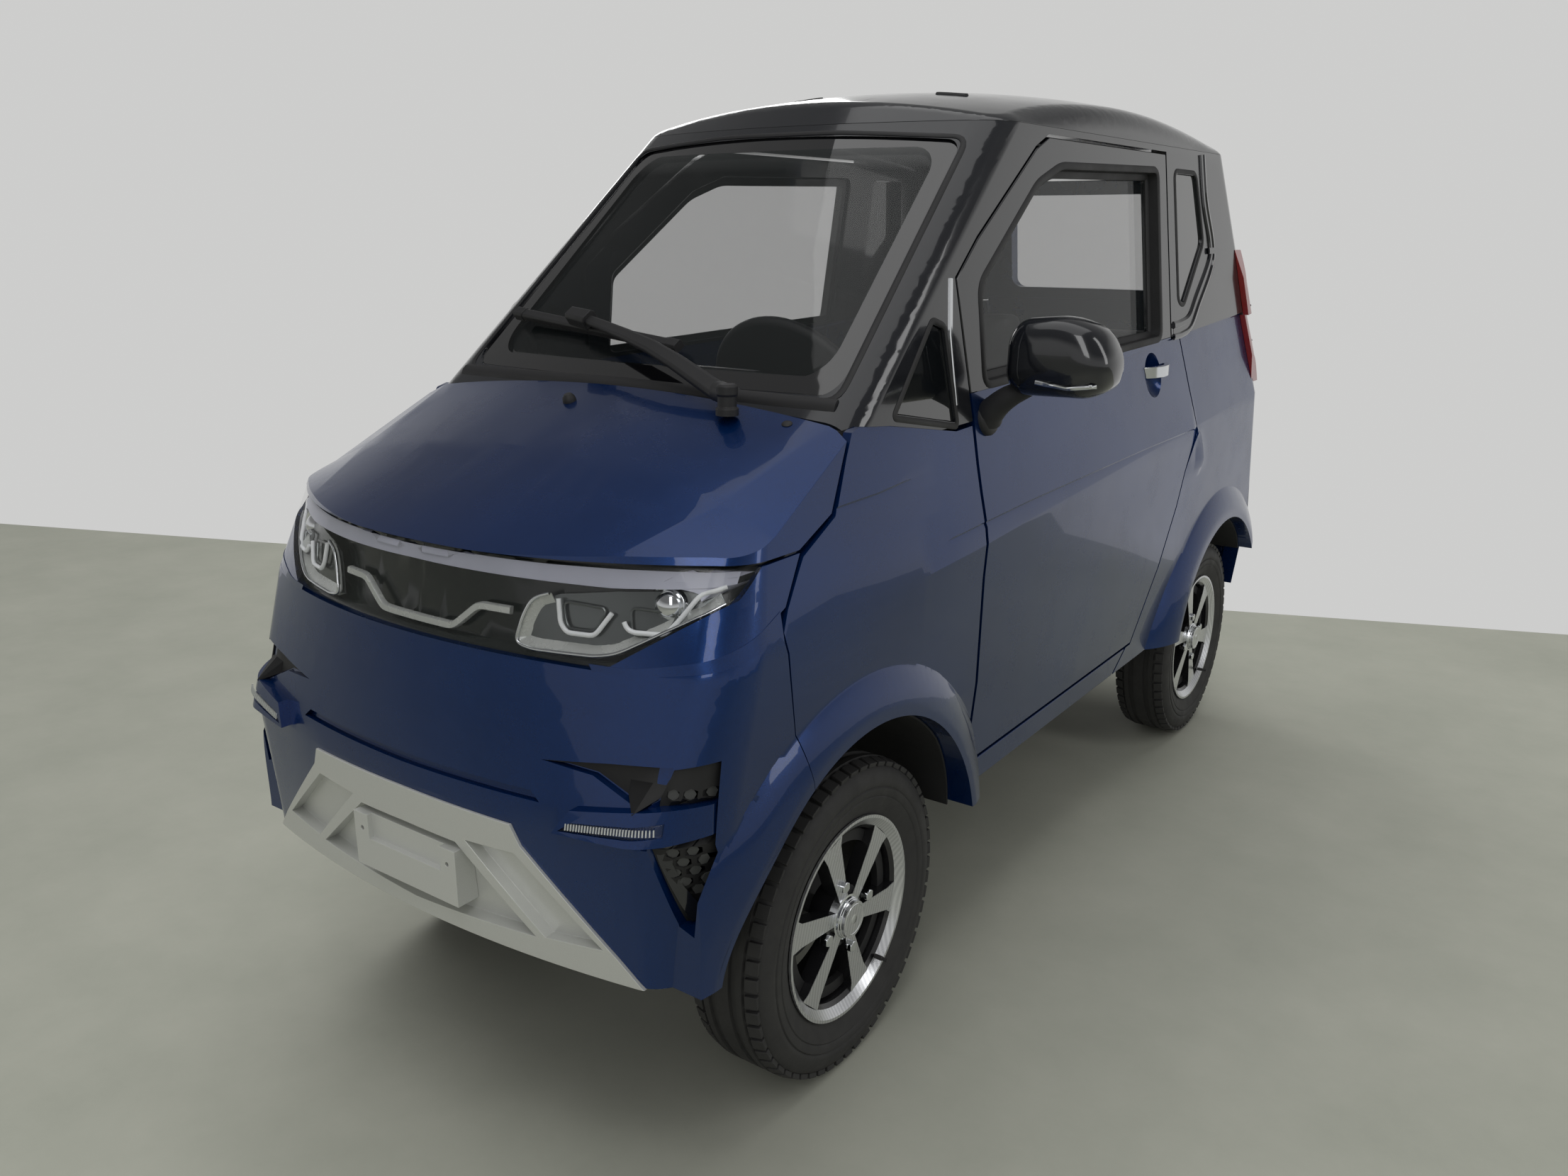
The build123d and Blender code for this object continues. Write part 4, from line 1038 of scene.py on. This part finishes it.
def insideOf(outline, x, z, margin=0.0):
    crossings = 0
    for (x1, z1), (x2, z2) in zip(outline, outline[1:] + outline[:1]):
        if (z1 > z) != (z2 > z) and x < x1 + (z - z1) * (x2 - x1) / (z2 - z1):
            crossings += 1
        run = Vector((x2 - x1, z2 - z1))
        along = min(1.0, max(0.0, Vector((x - x1, z - z1)).dot(run) / run.length_squared))
        if (Vector((x, z)) - Vector((x1, z1)) - run * along).length < margin:
            return False
    return crossings % 2 == 1


def cornerVents():
    mesh, bumper, lens = skinOf("bumper_vents"), skinOf("front_bumper"), skinOf("corner_lamps")
    (startX, startZ), (pitchX, pitchZ) = vents["cellStart"], vents["cellPitch"]
    bladeLow, bladeHigh = vents["bladeRange"]
    cells = []
    for row in range(vents["rows"]):
        for column in range(vents["columns"]):
            x, z = startX + pitchX * (column + 0.5 * (row % 2)), startZ + pitchZ * row
            if bladeLow < z < bladeHigh or not insideOf(vents["outline"], x, z, vents["cellMargin"]):
                continue
            hits = [mesh.ray_cast(at(x + a, -900, z + b), views["front"][1]) for a, b in vents["probes"]]
            hits = [hit for hit in hits if hit[0] is not None and abs(hit[1].y) > 0.2]
            if hits:
                depth = sum(hit[0].y for hit in hits) / len(hits)
                normal = sum((hit[1] for hit in hits), Vector()).normalized()
                place = Vector((x / 1000, depth, z / 1000)) - normal * vents["cellSunk"] / 1000
                cells.append((place, normal))
    ribs = drape(vents["ribs"], "front", lens, 0.2, math.dist(*vents["ribs"]) / vents["ribCount"])
    cell, rib = plate(6, vents["cellRadius"], vents["cellDepth"]), bar(*vents["ribSize"])
    rows = (("vent_cells_", cells, cell, "cell_grey", "matte_black"),
            ("corner_lamp_ribs_", ribs, rib, "lamp_silver", "lamp_lens"))
    for side, turned in leftAndRight:
        way = Vector((-1 if turned else 1, 1, 1))
        for name, spots, thing, material, slot in rows:
            spots = [(place * way, normal * way) for place, normal in spots]
            planted(name + side, spots, thing, material, "root", slot)

    # painted shade: the slot is a recess, and a thin black sheet laid on the bumper's skin stands for its shade
    def slot(bm):
        patch(bm, vents["slot"], "front", bumper, 0.5, 1.0, 30.0)

    def border(bm):
        patch(bm, vents["border"], "front", mesh, 1.5, 2.5, 30.0)

    sidePiece("vent_slot_liner", slot, "root", "gloss_black", 30, material=finishes["vent_black_painted_shade"])
    sidePiece("vent_border", border, "root", "gloss_black", 30)


quarterParts = {   # line, section, height over the skin, spacing of its points, slot
    "quarter_channel": (
        smooth([Vector(place) for place in ((1563, 1478), (1574, 1375), (1612, 1285), (1604, 1232), (1500, 1150),
                                            (1442, 1106), (1380, 1094), (1328, 1092))], 5),
        [(-20, -2), (-20, 1.5), (-15, 4), (-9, 4), (-6, 0.5), (4, 0.5), (7, 4.5), (16, 4.5), (21, 1.5),
         (21, -2)], 0.0, 12.0, "gloss_black"),
    "quarter_channel_clip": ([(1584, 1262), (1632, 1262)], flatSection(14, -1, 2.5), 3.5, 6.0, "gloss_black"),
    "pillar_strip": ([(300, 1236), (289, 1150), (296, 1040)], flatSection(9, -1, 3.0), 0.0, 10.0,
                     "bright_metal"),
}


def quarterTrim():
    skin = skinOf("cabin_frame", "rear_quarter_glass")
    for name, (line, section, lift, spacing, slot) in quarterParts.items():
        sidePiece(name, lambda bm: trim(bm, line, "left", skin, section, lift, spacing), "root", slot, 30)


topParts = {
    "roofCaps": [(-120, 700), (180, 740), (-150, 1500), (150, 1500)], "roofCapSize": (62, 17, 3.5),
    "hoodCaps": {   # place, radius, height
        "washer_nozzle": ((-41, -78), 11, 12), "hood_plug": ((350, -36), 8, 3)},
    "rubber": [(-398, 1066), (-200, 1069), (0, 1071), (200, 1069), (398, 1066)],
    "rubberSection": [(-9, -1), (-9, 3), (-4, 5), (4, 5), (10, 2.5), (14, -1)],
}


def roofDetails():
    skin = skinOf("roof_panel")
    long, wide, high = topParts["roofCapSize"]
    for i, (x, station) in enumerate(topParts["roofCaps"]):
        line, section = [(x - long / 2, station), (x + long / 2, station)], flatSection(wide, -2, high, 0.5)
        onePiece(f"roof_cap_{i}", lambda bm: trim(bm, line, "top", skin, section, 0.0, 10.0), "root",
                 "matte_black", 40, 0.0008)


def cowlDetails():
    hood, skin = skinOf("hood"), skinOf("cabin_frame", "windshield")
    for name, (spot, radius, high) in topParts["hoodCaps"].items():
        centre, normal = drape([spot, spot], "top", hood, 0.0)[0]
        profile = [(-4, radius), (1, radius), (high * 0.6, radius * 0.9), (high, radius * 0.55), (high, 0)]
        onePiece(name, lambda bm: lathe(bm, profile, centre, normal, 24), "root", "matte_black", 40)
    line, section = topParts["rubber"], topParts["rubberSection"]
    onePiece("cowl_rubber", lambda bm: trim(bm, line, "front", skin, section, 0.0, 12.0), "root",
             "matte_black", 40)


rear = {
    "strips": {   # line, what it lies on, slot, then its section's width, low, height and crown
        "hatch_handle": ([(-66, 868), (66, 868)], "hatch_panel", "gloss_black", (24, -1, 11, 0.45)),
        "hatch_hinge_right": ([(-152, 1424), (-104, 1424)], "hatch_panel", "gloss_black", (20, -1, 7, 0.4)),
        "hatch_hinge_left": ([(104, 1424), (152, 1424)], "hatch_panel", "gloss_black", (20, -1, 7, 0.4)),
        "rear_plate_lamp": ([(-40, 764), (40, 764)], "rear_bumper", "matte_black", (20, -1, 12, 0.5)),
    },
    "reflector": [(322, 452), (404, 452)], "plate": [(-130, 632), (130, 632), (130, 742), (-130, 742)],
    "plateScrews": [(-95, 687), (95, 687)], "valance": [(-345, 358), (345, 358), (318, 418), (-318, 418)],
    "lampBars": [[(398, 1028), (474, 1034)], [(412, 1120), (474, 1124)]],
}


def rearDetails():  # fittings that such a vehicle has where the photograph doesn't show it
    skins = {node: skinOf(node) for node in ("hatch_panel", "rear_bumper", "tail_lamps")}
    bumper = skins["rear_bumper"]
    for name, (line, node, slot, section) in rear["strips"].items():
        onePiece(name, lambda bm: trim(bm, line, "rear", skins[node], flatSection(*section)), bodyOf[node],
                 slot, 35, 0.0006)

    def plateHolder(bm):
        patch(bm, rounded(rear["plate"], 12, 3), "rear", bumper, 4.0, 5.0, 40.0)

    def valance(bm):
        patch(bm, rear["valance"], "rear", bumper, 1.4, 2.4, 30.0)

    def reflector(bm):
        trim(bm, rear["reflector"], "rear", bumper, flatSection(30, -1, 5, 0.35))

    def lampBars(bm):
        for line in rear["lampBars"]:
            trim(bm, line, "rear", skins["tail_lamps"], flatSection(4.5, -1, 1.6), 0.0, 6.0)

    screws = [drape([spot, spot], "rear", bumper, 4.6)[0] for spot in rear["plateScrews"]]
    onePiece("rear_plate_holder", plateHolder, "root", "matte_black", 35, 0.001)
    onePiece("rear_valance", valance, "root", "matte_black", 35)
    planted("rear_plate_screws", screws, plate(6, 6.0, 5.0), "bright_metal", "root", "bright_metal", 0.0006)
    sidePiece("rear_reflector", reflector, "root", "tail_lens", 35)
    sidePiece("tail_lamp_bars", lampBars, "root", "gloss_black", 35)


openings = {   # outline, view, the node it lies in, the seal's section, its distance outside, its corners
    "door_window_seal": ([(402, 1064), (1245, 1084), (1256, 1430), (745, 1418), (640, 1385), (402, 1222)],
                         "left", "door_panel_left", "channel", 3.0, 24),
    "front_quarter_seal": ([(112, 1046), (290, 1013), (268, 1160), (236, 1170)],
                           "left", "cabin_frame", "flush", 5.0, 10),
    "rear_quarter_seal": ([(1372, 1158), (1400, 1150), (1548, 1282), (1512, 1430), (1372, 1430)],
                          "left", "cabin_frame", "flush", 5.0, 20),
    "windscreen_seal": ([(-390, 1076), (390, 1076), (352, 1452), (120, 1465), (-120, 1465), (-352, 1452)],
                        "front", "cabin_frame", "flush", 5.0, 24),
    "hatch_window_seal": ([(-228, 1150), (-200, 1400), (200, 1400), (228, 1150)],
                          "rear", "hatch_panel", "flush", 5.0, 24),
}
seals = {   # sections as (outwards from the opening, out of the skin), from a path 3 mm outside the opening
    "flush": [(-4, -1), (-4, 1.0), (-2, 2.2), (3, 2.2), (6, 0.6), (6, -1)],
    "channel": [(-3.2, -25.6), (-19, -25.6), (-19, -22), (-14, -19), (-7, -18), (-6, 0.6), (-4, 2.2),
                (5, 2.2), (7.5, 0.3), (-3.2, 0.3)],
}


def windowSeals():
    for name, (outline, view, node, section, gap, arc) in openings.items():
        skin, path = skinOf(node), rounded(grown(outline, gap), arc)

        def build(bm):
            trim(bm, path, view, skin, seals[section], 0.0, 12.0, True)

        if view == "left":
            sidePiece(name, build, "door_{}" if bodyOf[node] == "door_left" else "root", "matte_black", 40)
        else:
            onePiece(name, build, bodyOf[node], "matte_black", 40)


cushions = {   # low corner, high corner as (x, station, z), and the most a point may move
    "front_seat_cushion": ("front_seat", (-198, 650, 568), (198, 1048, 652), 14),
    "front_seat_back": ("front_seat", (-196, 1016, 668), (196, 1102, 1142), 14),
    "rear_seat_cushion": ("rear_seat", (-372, 1350, 608), (372, 1692, 682), 12),
    "rear_seat_back": ("rear_seat", (-352, 1648, 700), (352, 1732, 1072), 12),
}
padding = {"voxel": 0.007, "roundness": 0.026, "pressure": 4.0, "frames": 20, "fill": 0.8,
           "seams": 3, "seamDepth": 0.005, "seamWidth": 0.006}


def cushion(name, node, low, high, reach):
    low, high = at(*low), at(*high)
    bm = bmesh.new()
    block(bm, low, high, offset=padding["roundness"], segments=4, profile=0.6)
    mesh = bpy.data.meshes.new(name)
    bm.to_mesh(mesh)
    bm.free()
    holder = bpy.data.objects.new(name + "Holder", mesh)
    scene.collection.objects.link(holder)
    remesh = holder.modifiers.new("evenFaces", "REMESH")
    remesh.mode, remesh.voxel_size = "VOXEL", padding["voxel"]
    mesh = evaluatedMesh(holder)
    holder.modifiers.remove(remesh)
    holder.data = mesh
    calm = [v.co.copy() for v in mesh.vertices]
    cloth = holder.modifiers.new("cloth", "CLOTH")
    cloth.settings.use_pressure = True
    cloth.settings.uniform_pressure_force = padding["pressure"]
    cloth.settings.effector_weights.gravity = 0
    for frameNumber in range(1, padding["frames"] + 1):
        scene.frame_set(frameNumber)
    mesh = evaluatedMesh(holder)
    for vert, start in zip(mesh.vertices, calm):
        move = vert.co - start
        vert.co = start + move * min(1.0, reach / 1000 / max(move.length, 1e-9))
    scene.frame_set(1)
    holder.modifiers.remove(cloth)
    bpy.data.objects.remove(holder)
    upright = high.z - low.z > high.y - low.y
    facing = Vector((0, -1, 0)) if upright else Vector((0, 0, 1))
    mesh.update()
    seams = [(k - 1) * (high.x - low.x) / 5 for k in range(padding["seams"])]
    normals = [v.normal.copy() for v in mesh.vertices]
    for vert, normal in zip(mesh.vertices, normals):
        near = min(abs(vert.co.x - x) for x in seams)
        weight = max(0.0, normal.dot(facing)) ** 2 * math.exp(-(near / padding["seamWidth"]) ** 2)
        vert.co -= normal * weight * padding["seamDepth"]
    piece = pieceOf(mesh, name, bodyOf[node], "seat_leather", 70.0)
    finer = piece.modifiers.new("finer", "SUBSURF")
    finer.levels = finer.render_levels = 1
    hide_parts(node)


def seats():
    for name, details in cushions.items():
        cushion(name, *details)
    for side, x in (("right", -55), ("left", 55)):
        post = [at(x, 1060, 1130), at(x, 1062, 1180)]
        onePiece("head_rest_post_" + side, lambda bm: tube(bm, post, [6, 6], 12), "root", "bright_metal", 40)


steering = {"middle": (0, 480, 994), "lean": (0, 646, 1074), "radius": 165, "grip": 12.5, "spokes": 168}
dashParts = {   # low corner, high corner, slot, rounding of the block, bevel of the piece
    "instrument_hood": ((-95, 232, 975), (95, 262, 1075), "dash_plastic",
                        {"offset": 0.008, "segments": 3}, 0.0),
    "instrument_screen": ((-82, 260, 988), (82, 264, 1064), "gloss_black", {}, 0.001),
}
springs = {"turns": 7.0, "coilRadius": 0.036, "coilHeight": 0.20, "wireRadius": 0.005,
           "feet": {"front": (262, 0, 262), "rear": (240, 1717, 296)},
           "damper": [(-22, 13), (60, 13), (60, 21), (110, 21), (112, 16), (225, 16), (225, 30), (232, 30)]}


def steeringWheel():
    centre, radius, grip = at(*steering["middle"]), steering["radius"], steering["grip"]
    axis = (at(*steering["lean"]) - centre).normalized()
    turns = [2 * math.pi * i / 14 for i in range(15)]
    bm = bmesh.new()
    lathe(bm, [(grip * math.sin(t), radius + grip * math.cos(t)) for t in turns], centre, axis, 72)
    dressNode("steering_wheel", bm, "steering_wheel_rim", "dash_plastic", 60.0, 0.0)
    bm = mergedCopy("steering_wheel")
    reach = steering["spokes"] / 1000
    away = [v for v in bm.verts if (v.co - centre - axis * (v.co - centre).dot(axis)).length > reach]
    bmesh.ops.delete(bm, geom=away, context="VERTS")
    bmesh.ops.holes_fill(bm, edges=[edge for edge in bm.edges if edge.is_boundary])
    dressNode("steering_wheel", bm, "steering_wheel_spokes", "dash_plastic", 32.0, 0.002)


def dashDetails():
    for name, (low, high, slot, rounding, bevel) in dashParts.items():
        onePiece(name, lambda bm: block(bm, at(*low), at(*high), **rounding), "root", slot, 40, bevel)


def underParts():
    growth = Growth("coilSpring")
    turns = growth.input("Turns", "Float", springs["turns"])
    radius = growth.input("Coil radius", "Float", springs["coilRadius"])
    height = growth.input("Coil height", "Float", springs["coilHeight"])
    helix = growth.node("GeometryNodeCurveSpiral", {}, {
        "Resolution": 20, "Rotations": turns, "Start Radius": radius, "End Radius": radius,
        "Height": height})
    wire = growth.node("GeometryNodeCurvePrimitiveCircle", {}, {
        "Resolution": 8, "Radius": springs["wireRadius"]})
    coil = growth.node("GeometryNodeCurveToMesh", {}, {
        "Curve": helix, "Profile Curve": wire, "Fill Caps": True})
    mesh = growth.mesh(coil, finishes["frame_paint"])
    for side, way in (("left", 1), ("right", -1)):
        for name, (x, station, z) in springs["feet"].items():
            foot = at(x * way, station, z)

            def spring(bm):
                bm.from_mesh(mesh)
                bmesh.ops.transform(bm, matrix=Matrix.Translation(foot), verts=bm.verts)

            def damper(bm):
                lathe(bm, springs["damper"], foot, Vector((0, 0, 1)), 24)

            onePiece(f"{name}_coil_{side}", spring, "root", "frame_paint", 60)
            onePiece(f"{name}_damper_{side}", damper, "root", "cast_metal", 40)


machinedFrom = 0.0492   # metres outwards from the wheel's middle


def machinedRim():  # black, and turned bright on its outermost faces
    f = Finish("machinedRim", Metallic=0.95, Coat_Weight=0.35, Coat_Roughness=0.06)
    depth = f.node("ShaderNodeMath", {"operation": "ABSOLUTE"}, {0: f.split(0)})
    cut = depth > abs(frontHub.x) + machinedFrom
    rings = f.node("ShaderNodeTexWave", {"wave_type": "RINGS", "rings_direction": "X"},
                   {"Vector": f.place(1.0), "Scale": 40.0, "Distortion": 0.2})
    silver = f.blend(rings, (0.55, 0.56, 0.58), (0.72, 0.73, 0.75))
    f.set("Base Color", f.blend(cut, (0.010, 0.010, 0.011), silver))
    f.set("Metallic", cut * 0.9)
    f.set("Roughness", cut * 0.02 + 0.22 + f.noise(30.0) * 0.08)
    return f.material


for place, way in wheels.items():
    tyreTread(place)
    shoulderBlocks(place)
    wheelTrim(place, way)
print("wheels dressed")

for side, _ in leftAndRight:
    doorSkins(side)
windowSeals()
quarterTrim()
mirrors()
print("doors and mirrors dressed")

lampHousing()
lampLens()
cornerSeam()
lampInsides()
cornerVents()
cowlDetails()
roofDetails()
rearDetails()
wiperParts()
print("lamps, vents, roof and rear dressed")

seats()
steeringWheel()
dashDetails()
underParts()
print("cabin and springs dressed")

finishes["alloy"] = machinedRim()
own = {"lamp_housing", "lamp_lens", "steering_wheel", "front_seat", "rear_seat", "wiper"}
ownKinds = ("tyre_", "door_panel_", "mirror_")
# the bumper vent takes the darker black, which paints the shade inside its recess
special = {"windshield": finishes["windscreen"], "bumper_vents": finishes["vent_black_painted_shade"]}
shaped = {"front_bumper", "bumper_vents", "corner_lamps"}
for node in frame["nodes"]:
    if node in own or node.startswith(ownKinds):
        continue
    bm = pressed(mergedCopy(node), node)
    if node in shaped:
        shapedCorners(bm)
    dressNode(node, bm, material=special.get(node))
print("nodes dressed")


room = {
    "wallLine": [(-3427, 1431), (1250, 3278)], "reach": 24.0, "floorLow": (0.335, 0.345, 0.290),
    "floorHigh": (0.395, 0.400, 0.340), "horizon": 0.72, "zenith": 0.20, "worldStrength": 0.85,
    "sunPower": 1.45, "sunSpread": 70.0, "sunAim": (0.35, -0.15, -1.0),
    "strips": {   # place, target, width, height, power
        "keyStrip": ((1.8, -3.4, 3.6), (0.2, -0.6, 0.6), 1.2, 4.0, 46.0),
        "sideStrip": ((4.2, 0.8, 3.2), (0.3, 0.2, 0.8), 1.0, 4.0, 34.0),
        "roofPanel": ((0.0, 0.0, 4.6), (0.0, 0.0, 0.0), 3.0, 4.0, 26.0),
        "rearFill": ((-3.2, 3.0, 2.6), (0.0, 0.4, 0.8), 2.0, 2.0, 26.0)},
    "camera": {"place": (1.356, -2.260, 1.310), "yaw": 35.356, "pitch": 16.390, "roll": 0.186,
               "sensor": 36.0, "imageWidth": 2212.0, "focalPixels": 1723.5},
}


def paleFloor():  # ends where the photograph's wall begins, so the pale world stands behind it
    first, last = [at(x, station, -0.5) for x, station in room["wallLine"]]
    along = (last - first).normalized() * room["reach"]
    ahead = Vector((along.y, -along.x, 0))
    mesh = bpy.data.meshes.new("floor")
    corners = [first - along, first - along + ahead, last + along + ahead, last + along]
    mesh.from_pydata(corners, [], [(0, 1, 2, 3)])
    floor = bpy.data.objects.new("floor", mesh)
    scene.collection.objects.link(floor)
    f = Finish("paleFloor", Roughness=0.72)
    clouds = f.ramp(f.noise(2.6, 7.0, 0.68), (0.3, 0.0), (0.7, 1.0))
    f.set("Base Color", f.blend(clouds, room["floorLow"], room["floorHigh"]))
    mesh.materials.append(f.material)


def lit(name, kind, **settings):
    light = bpy.data.lights.new(name, kind)
    for key, value in settings.items():
        setattr(light, key, value)
    lamp = bpy.data.objects.new(name, light)
    scene.collection.objects.link(lamp)
    return lamp


def studio():
    paleFloor()
    world = bpy.data.worlds.new("softRoom")
    scene.world = world
    world.use_nodes = True
    tree = world.node_tree
    coords, apart, ramp = [tree.nodes.new(kind) for kind in ("ShaderNodeTexCoord", "ShaderNodeSeparateXYZ",
                                                             "ShaderNodeValToRGB")]
    tree.links.new(coords.outputs["Generated"], apart.inputs[0])
    tree.links.new(apart.outputs["Z"], ramp.inputs[0])
    tree.links.new(ramp.outputs[0], tree.nodes["Background"].inputs["Color"])
    stops = ((0.16, room["horizon"]), (0.44, room["zenith"]))
    for element, (place, shade) in zip(ramp.color_ramp.elements, stops):
        element.position, element.color = place, (shade, shade, shade * 0.99, 1)
    tree.nodes["Background"].inputs["Strength"].default_value = room["worldStrength"]
    sun = lit("evenDaylight", "SUN", energy=room["sunPower"], angle=math.radians(room["sunSpread"]))
    sun.rotation_euler = Vector(room["sunAim"]).to_track_quat("-Z", "Y").to_euler()
    sun.visible_glossy = False
    for name, (place, target, wide, high, power) in room["strips"].items():
        lamp = lit(name, "AREA", shape="RECTANGLE", size=wide, size_y=high, energy=power)
        lamp.location = place
        lamp.rotation_euler = (Vector(target) - Vector(place)).to_track_quat("-Z", "Y").to_euler()


def photoCamera():
    photo = room["camera"]
    yaw, pitch, roll = [math.radians(photo[turn]) for turn in ("yaw", "pitch", "roll")]
    forward = Vector((-math.sin(yaw) * math.cos(pitch), math.cos(yaw) * math.cos(pitch), -math.sin(pitch)))
    side = forward.cross(Vector((0, 0, 1))).normalized()
    right = side * math.cos(roll) + side.cross(forward) * math.sin(roll)
    data = bpy.data.cameras.new("photoCamera")
    data.sensor_width = photo["sensor"]
    data.lens = photo["sensor"] * photo["focalPixels"] / photo["imageWidth"]
    camera = bpy.data.objects.new("photoCamera", data)
    scene.collection.objects.link(camera)
    camera.matrix_world = Matrix((right, right.cross(forward), -forward)).transposed().to_4x4()
    camera.location = photo["place"]
    scene.camera = camera


studio()
photoCamera()
scene.view_settings.view_transform = "Standard"
bpy.context.view_layer.update()
print("scene ready")
